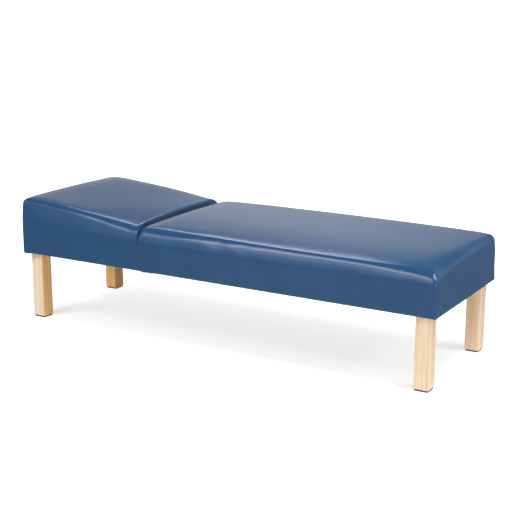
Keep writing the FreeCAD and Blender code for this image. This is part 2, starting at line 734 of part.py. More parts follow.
frame_screw = add_screw("frame_screw", "dims.frame_screw_length")
frame_screws = keep(add_group("frame_screws", frame_screw, frame_screw_places()))
block_screw = add_screw("block_screw", "dims.block_screw_length")
block_screws = keep(add_group("block_screws", block_screw, block_screw_places()))
deck_screw = add_screw("deck_screw", "dims.deck_screw_length")
deck_screws = keep(add_group("deck_screws", deck_screw, deck_screw_places()))
glide_screws = add_glide_screws()
leg_bolts, bolt_rooms = add_leg_hardware()

staple = add_staple()
hem_bottom = size("underside") - size("staple_wire")
cambric_bottom = size("dust_cover_bottom") - size("staple_wire")
cover_staples = keep(add_group(
    "cover_staples", staple, staple_places(size("cover_staple_inset"), hem_bottom)))
dust_cover_staples = keep(add_group(
    "dust_cover_staples", staple, staple_places(size("dust_staple_inset"), cambric_bottom)))
staples = [cover_staples, dust_cover_staples]

for name, board in rails.items():
    keep(add_cut(name, board, [frame_screws, block_screws, deck_screws, *staples]))
for name, board in braces.items():
    keep(add_cut(name, board, [frame_screws, deck_screws]))
for corner in CORNERS:
    block = add_corner_block(corner)
    keep(add_cut(f"corner_block_{corner[0]}", block, [block_screws, bolt_rooms]))
    keep(add_cut(f"leg_{corner[0]}", add_leg(corner), [leg_bolts, glide_screws]))
    add_glide(corner)

head_deck = add_deck("head_deck", HEAD, HEAD_BAYS, "head_bay")
main_deck = add_deck("main_deck", FOOT, MAIN_BAYS, "main_bay")
keep(add_cut("head_deck", head_deck, [deck_screws]))
keep(add_cut("main_deck", main_deck, [deck_screws]))

add_foam("head_foam", HEAD)
add_foam("main_foam", FOOT)
keep(add_cut("head_cover", add_cover("head_cover", HEAD), staples))
keep(add_cut("main_cover", add_cover("main_cover", FOOT), staples))
keep(add_cut("dust_cover", add_dust_cover(), staples))

check_and_write()
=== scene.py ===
"""Dresses a low treatment couch: two vinyl pads on a timber frame with four hardwood legs."""

from __future__ import annotations

import logging
import math
from collections.abc import Callable, Sequence
from dataclasses import dataclass
from enum import Enum

import bmesh
import bpy
import numpy as np
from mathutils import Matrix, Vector, kdtree


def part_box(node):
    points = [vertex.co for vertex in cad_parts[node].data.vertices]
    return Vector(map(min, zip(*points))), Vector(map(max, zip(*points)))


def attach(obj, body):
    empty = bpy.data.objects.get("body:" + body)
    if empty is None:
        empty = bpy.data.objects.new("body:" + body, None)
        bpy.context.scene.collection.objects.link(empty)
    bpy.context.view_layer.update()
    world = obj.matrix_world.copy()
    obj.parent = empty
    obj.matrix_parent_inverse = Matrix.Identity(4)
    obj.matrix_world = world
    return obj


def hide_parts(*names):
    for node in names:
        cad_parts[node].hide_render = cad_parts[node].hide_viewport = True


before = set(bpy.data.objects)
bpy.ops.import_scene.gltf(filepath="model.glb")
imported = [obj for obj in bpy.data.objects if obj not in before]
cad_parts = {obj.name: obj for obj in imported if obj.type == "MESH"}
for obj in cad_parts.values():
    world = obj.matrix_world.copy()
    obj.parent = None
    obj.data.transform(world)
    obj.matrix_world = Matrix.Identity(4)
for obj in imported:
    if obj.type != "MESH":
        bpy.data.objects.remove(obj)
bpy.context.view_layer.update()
BODY = "root"
MM = 0.001
# A wave texture of scale 1 repeats about every 0.314 m.
WAVE_TURN = 0.314
WHITE = (1.0, 1.0, 1.0, 1.0)
Tree, Node, Socket = bpy.types.NodeTree, bpy.types.Node, bpy.types.NodeSocket
Inputs = dict[str, Node | Socket | float]
Object, Shape = bpy.types.Object, bmesh.types.BMesh
log = logging.getLogger("couch")


class PadEnd(Enum):
    """The end of the couch that a pad runs to, as the sign of X."""

    HEAD = -1
    FOOT = 1


class Grain(Enum):
    """How a board's grain runs, as the turn in degrees that lays it along the pattern's Z."""

    LENGTHWAYS = (0.0, -90.0, 0.0)
    CROSSWAYS = (90.0, 0.0, 0.0)
    MITRED = (90.0, 0.0, 45.0)
    MITRED_BACK = (90.0, 0.0, -45.0)


def linear(colour: str) -> tuple[float, float, float, float]:
    """Turns an sRGB hex colour to linear.

    Args:
        colour: six hex digits.

    Returns:
        Red, green, blue and an alpha of 1.
    """
    parts = [int(colour[at:at + 2], 16) / 255 for at in (0, 2, 4)]
    lit = [part / 12.92 if part <= 0.04045 else ((part + 0.055) / 1.055) ** 2.4 for part in parts]
    return (*lit, 1.0)


def link(tree: Tree, node: Node, links: dict[str | int, Node | Socket]) -> None:
    """Links sockets, or the first outputs of nodes, to a node's inputs.

    Args:
        tree: the node tree.
        node: the node that takes the links.
        links: what goes to each input, by the input's name or number.
    """
    for name, source in links.items():
        if isinstance(source, Node):
            source = next(socket for socket in source.outputs if socket.enabled)
        tree.links.new(source, node.inputs[name])


def add_node(tree: Tree, kind: str, settings: dict | None = None, links: dict | None = None) -> Node:
    """Adds a node with its settings and links.

    Args:
        tree: the node tree that takes it.
        kind: the node's type, without the ShaderNode that starts it.
        settings: values by the name of a property, or by the name or number of an input.
        links: what goes to each input, by the input's name or number.

    Returns:
        The new node.
    """
    node = tree.nodes.new(f"ShaderNode{kind}")
    for name, value in (settings or {}).items():
        if isinstance(name, str) and hasattr(node, name):
            setattr(node, name, value)
        else:
            node.inputs[name].default_value = value
    link(tree, node, links or {})
    return node


def ramp(over: tuple[float, float], to: tuple[float, float] = (0.0, 1.0)) -> dict[str, float]:
    """The settings that map one range onto another."""
    return {"From Min": over[0], "From Max": over[1], "To Min": to[0], "To Max": to[1]}


def tones(first: str, second: str) -> dict[str | int, object]:
    """The settings that mix two colours."""
    return {"data_type": "RGBA", 6: linear(first), 7: linear(second)}


def within(tree: Tree, value: Socket, centre: float, near: float, gone: float) -> Node:
    """Adds nodes that make a soft-edged band of a coordinate.

    Args:
        tree: the node tree that takes them.
        value: the coordinate.
        centre: the middle of the band.
        near: how far from the middle the band is whole.
        gone: how far from the middle it ends.

    Returns:
        The node that gives 1 in the band and 0 outside it.
    """
    off = add_node(tree, "Math", {"operation": "SUBTRACT", 1: centre}, {0: value})
    away = add_node(tree, "Math", {"operation": "ABSOLUTE"}, {0: off})
    settings = {"interpolation_type": "SMOOTHSTEP", **ramp((near, gone), (1.0, 0.0))}
    return add_node(tree, "MapRange", settings, {"Value": away})


def ease(value: np.ndarray, start: float, stop: float) -> np.ndarray:
    """Rises smoothly from 0 at start to 1 at stop."""
    part = np.clip((value - start) / (stop - start), 0.0, 1.0)
    return part * part * (3.0 - 2.0 * part)


def round_max(first: np.ndarray, second: np.ndarray, radius: np.ndarray | float) -> np.ndarray:
    """Joins the distances to two faces by a rounded edge of the given radius."""
    reach = np.hypot(np.maximum(first + radius, 0.0), np.maximum(second + radius, 0.0))
    return np.minimum(np.maximum(first, second), -radius) + reach


def read_points(verts: bmesh.types.BMVertSeq | bpy.types.MeshVertices) -> np.ndarray:
    """Reads points as rows of X, Y and Z."""
    return np.array([vert.co for vert in verts])


def lay_points(shape: Shape, points: np.ndarray) -> None:
    """Moves a mesh's points to the given rows of X, Y and Z."""
    for vert, point in zip(shape.verts, points):
        vert.co = point


def level_grid(low: Vector, high: Vector, pitch: float) -> Shape:
    """Makes a level grid at the top of a box.

    Args:
        low: the box's lowest corner.
        high: its highest corner.
        pitch: about how far apart the lines are.

    Returns:
        The grid.
    """
    span, centre = high - low, (low + high) / 2
    grid = bmesh.new()
    bmesh.ops.create_grid(grid, x_segments=round(span.x / pitch), y_segments=round(span.y / pitch),
                          size=0.5)
    for vert in grid.verts:
        vert.co = (centre.x + vert.co.x * span.x, centre.y + vert.co.y * span.y, high.z)
    return grid


def grow_rim(shape: Shape, rim: list[bmesh.types.BMEdge]) -> tuple[list, list]:
    """Extrudes a rim, and leaves the new points where the old ones are.

    Args:
        shape: the mesh.
        rim: the edges of its rim.

    Returns:
        The new points, and the edges of the new rim.
    """
    grown = bmesh.ops.extrude_edge_only(shape, edges=rim)["geom"]
    verts = [part for part in grown if isinstance(part, bmesh.types.BMVert)]
    fresh = set(verts)
    return verts, [part for part in grown if isinstance(part, bmesh.types.BMEdge) and part.is_boundary
                   and fresh.issuperset(part.verts)]


def set_order(parts: bmesh.types.BMVertSeq | bmesh.types.BMEdgeSeq | bmesh.types.BMFaceSeq,
              key: Callable[[object], Sequence[float]]) -> None:
    """Puts a mesh's points, edges or faces in the order of a key."""
    places = {part: at for at, part in enumerate(sorted(parts, key=key))}
    parts.sort(key=places.get)


def new_object(name: str, shape: Shape) -> Object:
    """Makes an object in the scene from a bmesh, which is used up.

    Args:
        name: the object's name.
        shape: its mesh, in place.

    Returns:
        The object, smooth shaded.
    """
    # Extruding leaves edges and faces in another order at each run, which would change the simulation.
    set_order(shape.verts, lambda vert: tuple(vert.co))
    shape.verts.index_update()
    for parts in (shape.edges, shape.faces):
        set_order(parts, lambda part: sorted(vert.index for vert in part.verts))
    mesh = bpy.data.meshes.new(name)
    shape.to_mesh(mesh)
    shape.free()
    mesh.shade_smooth()
    obj = bpy.data.objects.new(name, mesh)
    bpy.context.scene.collection.objects.link(obj)
    return obj


@dataclass(frozen=True)
class Finish:
    """A surface finish with one material, shared by all that it dresses."""

    name: str

    def shade(self, tree: Tree, where: Socket) -> Inputs:
        """Builds the finish's nodes.

        Args:
            tree: the material's node tree.
            where: the Object coordinates.

        Returns:
            What goes to the shader's inputs: a node or socket, or a value that is the same all over.
        """
        raise NotImplementedError

    def material(self) -> bpy.types.Material:
        """Finds the finish's material, or makes it.

        Returns:
            The material.
        """
        found = bpy.data.materials.get(self.name)
        if found is None:
            found = bpy.data.materials.new(self.name)
            found.use_nodes = True
            tree = found.node_tree
            shader = tree.nodes["Principled BSDF"]
            for name, value in self.shade(tree, add_node(tree, "TexCoord").outputs["Object"]).items():
                if isinstance(value, float):
                    shader.inputs[name].default_value = value
                else:
                    link(tree, shader, {name: value})
        return found

    def dress(self, obj: Object) -> None:
        """Puts the finish on every face of an object.

        Args:
            obj: the object.
        """
        if not obj.material_slots:
            obj.data.materials.append(self.material())
        for slot in obj.material_slots:
            slot.material = self.material()


@dataclass(frozen=True)
class CoatedVinyl(Finish):
    """Plasticised PVC on a knitted back, calendered smooth and embossed with a fine hair-cell grain."""

    colour: str = "19446C"
    handled: str = "1E4D79"
    crease_shade: str = "2C3036"
    roughness: tuple[float, float] = (0.19, 0.26)
    grain_mm: float = 1.6
    cloud_mm: float = 140.0
    crease_bands_mm: tuple[tuple[float, float, float], ...] = ((-332.0, 5.0, 19.0), (0.0, 215.0, 285.0))

    def shade(self, tree: Tree, where: Socket) -> Inputs:
        """Even semi-gloss with painted shade in the crease: the emboss softens the highlights, and the foam
        shows as slow unevenness.
        """
        cloud = add_node(tree, "TexNoise", {"Scale": 1 / (self.cloud_mm * MM), "Detail": 3.0},
                         {"Vector": where})
        tone = add_node(tree, "Mix", tones(self.colour, self.handled), {0: cloud})
        # Painted shade: the colour is darkened in the fold between the pads, where the shade falls.
        spot = add_node(tree, "SeparateXYZ", links={"Vector": where})
        bands = [within(tree, spot.outputs[at], *(size * MM for size in band))
                 for at, band in enumerate(self.crease_bands_mm)]
        fold = add_node(tree, "Math", {"operation": "MULTIPLY"}, dict(enumerate(bands)))
        painted_fold_shade = add_node(tree, "Mix", {"data_type": "RGBA", "blend_type": "MULTIPLY",
                                      7: linear(self.crease_shade)}, {0: fold, 6: tone})
        # The true hair-cell is 0.4 mm, too fine to show, so it is drawn four times as coarse.
        cells = add_node(tree, "TexVoronoi", {"feature": "SMOOTH_F1", "Scale": 1 / (self.grain_mm * MM)},
                         {"Vector": where})
        gloss = add_node(tree, "MapRange", ramp((0.0, 1.0), self.roughness), {"Value": cells})
        emboss = add_node(tree, "Bump", {"Strength": 0.10, "Distance": 0.05 * MM}, {"Height": cells})
        return {"Base Color": painted_fold_shade, "Roughness": gloss, "Normal": emboss, "IOR": 1.5}


@dataclass(frozen=True)
class ClearMaple(Finish):
    """Hard maple, planed, sanded and sprayed with a clear satin lacquer.

    The faces turned in under the couch are tinted browner and darker: painted shade, in the warm brown of
    heartwood.
    """

    pale: str = "F6E4CC"
    tan: str = "E6C9A3"
    streak: str = "B98D5E"
    heart_and_shade: str = "FFD9A1"
    shaded: str = "CAC0BA"
    roughness: tuple[float, float] = (0.34, 0.46)
    stripe_mm: float = 9.0
    length_mm: float = 420.0
    fleck_mm: float = 1.2
    shade_from_mm: tuple[float, float] = (835.0, 219.5)
    shade_depth_mm: float = 7.0
    shade_at_foot: float = 0.3
    browner_front_foot: float = 0.17

    def shade_and_heart(self, tree: Tree, where: Socket) -> tuple[Node, Node]:
        """Finds where painted shade, in a heartwood brown, goes on the legs.

        Args:
            tree: the material's node tree.
            where: the Object coordinates.

        Returns:
            How much of the brown tint shows, and where the painted shade is darkest.
        """
        spot = add_node(tree, "SeparateXYZ", links={"Vector": where})
        inner = [within(tree, spot.outputs[at], 0.0, start * MM, (start + self.shade_depth_mm) * MM)
                 for at, start in enumerate(self.shade_from_mm)]
        either = add_node(tree, "Math", {"operation": "MAXIMUM"}, dict(enumerate(inner)))
        share = add_node(tree, "MapRange", ramp((-0.5, 0.5), (1.0, self.shade_at_foot)),
                         {"Value": spot.outputs["X"]})
        shaded_in = add_node(tree, "Math", {"operation": "MULTIPLY"}, {0: either, 1: share})
        # The leg at the front of the foot end is tinted a little browner on all its faces.
        head_end = add_node(tree, "Math", {"operation": "LESS_THAN", 1: 0.0}, {0: spot.outputs["X"]})
        rear = add_node(tree, "Math", {"operation": "GREATER_THAN", 1: 0.0}, {0: spot.outputs["Y"]})
        others = add_node(tree, "Math", {"operation": "MAXIMUM"}, {0: head_end, 1: rear})
        tanner = add_node(tree, "MapRange", ramp((0.0, 1.0), (self.browner_front_foot, 0.0)),
                          {"Value": others})
        heart_and_shade = add_node(tree, "Math", {"operation": "MAXIMUM"}, {0: shaded_in, 1: tanner})
        # Painted shade: the leg at the rear of the head end is darkest on its face turned in towards the
        # foot.
        one_leg = add_node(tree, "Math", {"operation": "MULTIPLY"}, {0: head_end, 1: rear})
        return heart_and_shade, add_node(tree, "Math", {"operation": "MULTIPLY"}, {0: inner[0], 1: one_leg})

    def shade(self, tree: Tree, where: Socket) -> Inputs:
        """Pale cream with straight tan stripes, short fine flecks and a thin sheen."""
        stretch = add_node(tree, "Mapping", {"Scale": (1.0, 1.0, self.stripe_mm / self.length_mm)},
                           {"Vector": where})
        stripes = add_node(tree, "TexNoise", {"Scale": 1 / (self.stripe_mm * MM), "Detail": 4.0,
                                              "Roughness": 0.55, "Distortion": 0.3}, {"Vector": stretch})
        band = add_node(tree, "MapRange", ramp((0.38, 0.68)), {"Value": stripes})
        ground = add_node(tree, "Mix", tones(self.pale, self.tan), {0: band})
        # The vessels are 0.1 mm wide, too fine to show, and are drawn as 1.2 mm flecks.
        flecks = add_node(tree, "TexNoise", {"Scale": 1 / (self.fleck_mm * MM), "Detail": 1.0},
                          {"Vector": stretch})
        fleck = add_node(tree, "MapRange", ramp((0.60, 0.80), (0.0, 0.35)), {"Value": flecks})
        wood = add_node(tree, "Mix", {"data_type": "RGBA", 7: linear(self.streak)}, {0: fleck, 6: ground})
        # Painted shade: the faces turned in under the couch are tinted browner and darker.
        for tint, amount in zip((self.heart_and_shade, self.shaded), self.shade_and_heart(tree, where)):
            wood = add_node(tree, "Mix", {"data_type": "RGBA", "blend_type": "MULTIPLY", 7: linear(tint)},
                            {0: amount, 6: wood})
        sheen = add_node(tree, "MapRange", ramp((0.0, 1.0), self.roughness), {"Value": stripes})
        relief = add_node(tree, "Bump", {"Strength": 0.15, "Distance": 0.1 * MM}, {"Height": flecks})
        return {"Base Color": wood, "Roughness": sheen, "Normal": relief, "IOR": 1.5}


@dataclass(frozen=True)
class SawnPine(Finish):
    """Softwood frame stock, planed on the mill and left bare."""

    grain: Grain = Grain.LENGTHWAYS
    early: str = "E3C79C"
    late: str = "BE8F57"
    ring_mm: float = 5.0

    def shade(self, tree: Tree, where: Socket) -> Inputs:
        """Dry yellow wood with hard-edged growth rings and no sheen."""
        turn = tuple(math.radians(angle) for angle in self.grain.value)
        along = add_node(tree, "Mapping", {"Rotation": turn}, {"Vector": where})
        squeeze = add_node(tree, "Mapping", {"Scale": (1.0, 1.0, 0.04)}, {"Vector": along})
        rings = add_node(tree, "TexWave", {"wave_type": "BANDS", "bands_direction": "DIAGONAL",
                                           "Scale": WAVE_TURN / (self.ring_mm * MM), "Distortion": 6.0,
                                           "Detail": 3.0, "Detail Scale": 0.4},
                         {"Vector": squeeze}).outputs["Fac"]
        wood = add_node(tree, "Mix", tones(self.early, self.late), {0: rings})
        relief = add_node(tree, "Bump", {"Strength": 0.3, "Distance": 0.2 * MM}, {"Height": rings})
        return {"Base Color": wood, "Normal": relief, "Roughness": 0.75}


@dataclass(frozen=True)
class Plywood(Finish):
    """Birch plywood, rotary cut, pressed in plies of about 1.4 mm and sanded."""

    face: str = "E2C9A0"
    figure: str = "CDA875"
    glue: str = "8A6236"
    figure_mm: float = 40.0
    ply_mm: float = 1.41

    def shade(self, tree: Tree, where: Socket) -> Inputs:
        """Wide lazy figure on the faces, and plies with thin dark glue lines on the edges."""
        squeeze = add_node(tree, "Mapping", {"Scale": (0.12, 1.0, 1.0)}, {"Vector": where})
        figure = add_node(tree, "TexNoise", {"Scale": 1 / (self.figure_mm * MM), "Detail": 3.0,
                                             "Distortion": 1.4}, {"Vector": squeeze})
        face = add_node(tree, "Mix", tones(self.face, self.figure), {0: figure})
        plies = add_node(tree, "TexWave", {"wave_type": "BANDS", "bands_direction": "Z",
                                           "Scale": WAVE_TURN / (self.ply_mm * MM)}, {"Vector": where})
        line = add_node(tree, "MapRange", ramp((0.8, 0.95), (0.0, 0.6)), {"Value": plies.outputs["Fac"]})
        board = add_node(tree, "Mix", {"data_type": "RGBA", 7: linear(self.glue)}, {0: line, 6: face})
        return {"Base Color": board, "Roughness": 0.7}


@dataclass(frozen=True)
class UpholsteryFoam(Finish):
    """Polyurethane foam, cut from the block with a band knife."""

    colour: str = "E8DDB8"
    pore: str = "B8A878"
    cell_mm: float = 2.2

    def shade(self, tree: Tree, where: Socket) -> Inputs:
        """Matt cream with open cells, drawn at three times their 0.7 mm so that they show."""
        cells = add_node(tree, "TexVoronoi", {"Scale": 1 / (self.cell_mm * MM)}, {"Vector": where})
        foam = add_node(tree, "Mix", tones(self.pore, self.colour), {0: cells})
        relief = add_node(tree, "Bump", {"Strength": 0.5, "Distance": 0.4 * MM}, {"Height": cells})
        return {"Base Color": foam, "Normal": relief, "Roughness": 0.95}


@dataclass(frozen=True)
class BlackCambric(Finish):
    """Spun-bonded polypropylene dust cloth, thermally point bonded."""

    colour: str = "17181A"
    bond: str = "2B2D30"
    bond_mm: float = 3.0
    fibre_mm: float = 1.5

    def shade(self, tree: Tree, where: Socket) -> Inputs:
        """Matt black felted sheet with a grid of small pressed bonds."""
        turn = add_node(tree, "Mapping", {"Rotation": (0.0, 0.0, math.radians(45))}, {"Vector": where})
        bonds = add_node(tree, "TexVoronoi", {"Scale": 1 / (self.bond_mm * MM), "Randomness": 0.0},
                         {"Vector": turn})
        spot = add_node(tree, "MapRange", ramp((0.30, 0.22), (0.0, 0.8)), {"Value": bonds})
        cloth = add_node(tree, "Mix", tones(self.colour, self.bond), {0: spot})
        # The fibres are 0.02 mm thick, too fine to show, and are drawn as 1.5 mm tufts.
        fibres = add_node(tree, "TexNoise", {"Scale": 1 / (self.fibre_mm * MM), "Detail": 4.0},
                          {"Vector": where})
        relief = add_node(tree, "Bump", {"Strength": 0.4, "Distance": 0.2 * MM}, {"Height": fibres})
        return {"Base Color": cloth, "Normal": relief, "Roughness": 0.9}


@dataclass(frozen=True)
class PatchyFinish(Finish):
    """A surface that differs from patch to patch in colour and in roughness."""

    colour: str
    patch: str
    patch_mm: float
    detail: float
    break_up: float
    roughness: tuple[float, float]
    metallic: float = 0.0

    def shade(self, tree: Tree, where: Socket) -> Inputs:
        """Two tones in soft patches, one rougher than the other."""
        patches = add_node(tree, "TexNoise", {"Scale": 1 / (self.patch_mm * MM), "Detail": self.detail,
                                              "Roughness": self.break_up}, {"Vector": where})
        skin = add_node(tree, "Mix", tones(self.colour, self.patch), {0: patches})
        dull = add_node(tree, "MapRange", ramp((0.0, 1.0), self.roughness), {"Value": patches})
        return {"Base Color": skin, "Roughness": dull, "Metallic": self.metallic}


@dataclass(frozen=True)
class GlideRubber(PatchyFinish):
    """Moulded black rubber, scuffed by the floor: dull dark grey with paler dusty scuffs."""

    colour: str = "2A2A2B"
    patch: str = "4A4948"
    patch_mm: float = 6.0
    detail: float = 5.0
    break_up: float = 0.7
    roughness: tuple[float, float] = (0.55, 0.85)


@dataclass(frozen=True)
class ZincSteel(PatchyFinish):
    """Steel, bright zinc plated in a barrel: silvery metal with a faint patchy bloom."""

    colour: str = "C9CCCF"
    patch: str = "9EA3A6"
    patch_mm: float = 4.0
    detail: float = 3.0
    break_up: float = 0.5
    roughness: tuple[float, float] = (0.22, 0.42)
    metallic: float = 1.0


@dataclass(frozen=True)
class EdgeRun:
    """The shape of a pad's top edge, which changes along its run.

    Each station is a part of the run from 0 to 1, then, in millimetres, how far the rounding reaches onto
    the top and down the side, how far the side leans in under it, how far the top sinks towards it, and how
    far the lip is drawn down.
    """

    stations: tuple[tuple[float, ...], ...]

    def at(self, part: np.ndarray) -> np.ndarray:
        """The edge's shape at places along the run, on a smooth curve through the stations.

        Args:
            part: places from 0 to 1.

        Returns:
            Rows of reach, depth, lean, sink and lip, in metres.
        """
        along, *sizes = np.array(self.stations).T
        part = np.clip(part, along[0], along[-1])
        first = np.clip(np.searchsorted(along, part) - 1, 0, len(along) - 2)
        step = along[first + 1] - along[first]
        t = (part - along[first]) / step
        curves = []
        for size in sizes:
            slope = np.gradient(size, along)
            from_first = (1 + 2 * t) * (1 - t) ** 2 * size[first] + t * (1 - t) ** 2 * step * slope[first]
            to_next = t * t * (3 - 2 * t) * size[first + 1] + t * t * (t - 1) * step * slope[first + 1]
            curves.append(from_first + to_next)
        return np.array(curves) * MM


@dataclass(frozen=True)
class PadForm:
    """The soft outside of a pad and its skirt, drawn over the frame.

    The runs go from the crease to the tip on the long sides, and from front to rear at the tip and in the
    crease. The pairs are the upright corners' roundings at the top of the foam, front and rear, at the tip
    and at the crease. The search for the surface goes a little past the sharp box and halves its step each
    time.
    """

    end: PadEnd
    crease: float
    tip: float
    half_width: float
    seat: float
    knee: float
    underside: float
    rise: float
    front: EdgeRun
    rear: EdgeRun
    far: EdgeRun
    fold: EdgeRun
    corner_tops: tuple[float, float]
    fold_sides: tuple[float, float]
    crown: float = 5 * MM
    crown_lost_at_ends: float = 0.6
    corner: float = 12 * MM
    edge_fall: float = 80 * MM
    far_fall: float = 120 * MM
    fold_fall: float = 60 * MM
    edge_blend: float = 20 * MM
    core: float = 75 * MM
    overshoot: float = 1.2
    search: float = 1.3
    halvings: int = 36

    def outward(self, x: np.ndarray) -> np.ndarray:
        """The way along the couch, growing towards this pad's tip."""
        return x * self.end.value

    def along(self, x: np.ndarray) -> np.ndarray:
        """The part of the way from crease to tip."""
        return (self.outward(x) - self.crease) / (self.tip - self.crease)

    def edge_height(self, x: np.ndarray) -> np.ndarray:
        """The height of the long edges, before they are rounded."""
        return self.seat + self.rise * self.along(x)

    def runs(self, x: np.ndarray, y: np.ndarray) -> tuple[np.ndarray, np.ndarray, np.ndarray]:
        """The shapes of the edges that a point is level with.

        Args:
            x: the points' places along the couch.
            y: their places across it.

        Returns:
            The long edge's shape on the point's own side, the tip's and the crease's.
        """
        part, across = self.along(x), (y / self.half_width + 1.0) / 2.0
        long_edge = np.where(y < 0, self.front.at(part), self.rear.at(part))
        return long_edge, self.far.at(across), self.fold.at(across)

    def nearness(self, distance: np.ndarray, fall: float) -> np.ndarray:
        """Rises from 0, where a fall begins, to 1 at its edge and a little on past it."""
        return np.clip(1.0 - distance / fall, 0.0, self.overshoot)

    def top_height(self, x: np.ndarray, y: np.ndarray) -> np.ndarray:
        """The height of the crowned top, which falls to its drawn-down edges.

        Args:
            x: the points' places along the couch.
            y: their places across it.

        Returns:
            The height over each point.
        """
        (*_, sink, lip), far, crease = self.runs(x, y)
        breadth = np.abs(y) / self.half_width
        settle = 1.0 - self.crown_lost_at_ends * np.abs(2.0 * self.along(x) - 1.0) ** 6
        near_side = self.nearness(self.half_width - np.abs(y), self.edge_fall)
        near_tip = self.nearness(self.tip - self.outward(x), self.far_fall)
        near_fold = self.nearness(self.outward(x) - self.crease, self.fold_fall)
        drawn = (sink * breadth ** 2 + lip * near_side ** 3
                 + far[3] * near_tip ** 2 + crease[3] * near_fold ** 2)
        return self.edge_height(x) + self.crown * (1.0 - breadth ** 2) * settle - drawn

    def excess(self, points: np.ndarray) -> np.ndarray:
        """How far points are outside the form, negative inside; only the sign and the zero are true.

        Args:
            points: rows of X, Y and Z.

        Returns:
            One number for each point.
        """
        x, y, z = points.T
        long_edge, far, crease = self.runs(x, y)
        up = np.clip((z - self.knee) / (self.edge_height(x) - self.knee), 0.0, self.overshoot)
        side = np.abs(y) - self.half_width + long_edge[2] * up ** 2
        tip = self.outward(x) - self.tip + far[2] * up ** 2
        fold = self.crease - self.outward(x) + crease[2] * up ** 2
        foam = ease(up, 0.0, 1.0)
        corner_top, fold_side = (np.where(y < 0, *pair) for pair in (self.corner_tops, self.fold_sides))
        skirt = round_max(side, tip, self.corner + (corner_top - self.corner) * foam)
        skirt = round_max(skirt, fold, fold_side * foam)

        near = np.array([side, tip, fold])
        weight = np.exp((near - near.max(axis=0)) / self.edge_blend)
        weight /= weight.sum(axis=0)
        reach, depth = sum(share * run[:2] for share, run in zip(weight, (long_edge, far, crease)))
        return round_max((z - self.top_height(x, y)) / depth, skirt / reach, 1.0)

    def settle(self, points: np.ndarray) -> np.ndarray:
        """Moves the points of a sharp box onto the form, along lines from the pad's core.

        Args:
            points: rows of X, Y and Z on the box.

        Returns:
            The points on the form.
        """
        x, y, z = points.T
        outward = np.clip(self.outward(x), self.crease + self.core, self.tip - self.core)
        inner = np.column_stack((outward * self.end.value,
                                 np.clip(y, self.core - self.half_width, self.half_width - self.core),
                                 np.minimum(z, self.edge_height(x) - self.core)))
        away = points - inner
        near, far = np.zeros(len(points)), np.full(len(points), self.search)
        for _ in range(self.halvings):
            middle = (near + far) / 2
            outside = self.excess(inner + away * middle[:, None]) > 0
            far = np.where(outside, middle, far)
            near = np.where(outside, near, middle)
        return inner + away * near[:, None]


@dataclass(frozen=True)
class PressureSwell:
    """How foam presses its cover out, found with a cloth simulation on a coarse twin of the cover."""

    pressure: float = 4.0
    frames: int = 20
    stiffness: float = 60.0
    quality: int = 6
    cap: float = 1.2 * MM
    spread: float = 22 * MM
    neighbours: int = 14

    def run(self, twin: Object, held: np.ndarray) -> np.ndarray:
        """Blows up the twin.

        Args:
            twin: the coarse cover.
            held: true for each point that the frame holds.

        Returns:
            How far each point moved, eased so that none passes the cap.
        """
        rest = read_points(twin.data.vertices)
        group = twin.vertex_groups.new(name="held")
        group.add([int(at) for at in np.flatnonzero(held)], 1.0, "REPLACE")
        cloth = twin.modifiers.new("swell", "CLOTH")
        cloth.settings.vertex_group_mass = group.name
        cloth.settings.use_pressure = True
        cloth.settings.uniform_pressure_force = self.pressure
        cloth.settings.effector_weights.gravity = 0.0
        cloth.settings.tension_stiffness = self.stiffness
        cloth.settings.compression_stiffness = self.stiffness
        cloth.settings.quality = self.quality
        cloth.point_cache.frame_end = self.frames
        scene = bpy.context.scene
        for number in range(1, self.frames + 1):
            scene.frame_set(number)
        blown = twin.evaluated_get(bpy.context.evaluated_depsgraph_get())
        moved = read_points(blown.data.vertices) - rest
        scene.frame_set(1)
        return moved * self.cap / (self.cap + np.linalg.norm(moved, axis=1, keepdims=True))

    def carry(self, twin_points: np.ndarray, moved: np.ndarray, points: np.ndarray) -> np.ndarray:
        """Spreads the twin's movement over other points.

        Args:
            twin_points: the twin's points at rest.
            moved: how far each of them moved.
            points: the points that follow.

        Returns:
            How far each of those moves.
        """
        tree = kdtree.KDTree(len(twin_points))
        for at, point in enumerate(twin_points):
            tree.insert(point, at)
        tree.balance()
        follow = np.zeros_like(points)
        for at, point in enumerate(points):
            near = tree.find_n(point, self.neighbours)
            weight = np.exp([-(distance / self.spread) ** 2 for _, _, distance in near])
            steps = moved[[index for _, index, _ in near]]
            follow[at] = (steps * weight[:, None]).sum(axis=0) / weight.sum()
        return follow


@dataclass(frozen=True)
class Pucker:
    """A place where the vinyl is gathered or pulled: a swell, or a row of waves, that fades out all round.

    All its sizes are in millimetres, and a wave is given by its length along each axis.
    """

    centre: tuple[float, float, float]
    radii: tuple[float, float, float]
    push: tuple[float, float, float]
    wave: tuple[float, float, float] = (0.0, 0.0, 0.0)

    def move(self, points: np.ndarray) -> np.ndarray:
        """How far the pucker moves each point.

        Args:
            points: rows of X, Y and Z in metres.

        Returns:
            The movement of each, in metres.
        """
        away = points / MM - np.array(self.centre)
        fade = np.exp(-((away / np.array(self.radii)) ** 2).sum(axis=1))
        turn = sum(away[:, axis] / length for axis, length in enumerate(self.wave) if length)
        return (fade * np.cos(2 * math.pi * turn))[:, None] * np.array(self.push) * MM


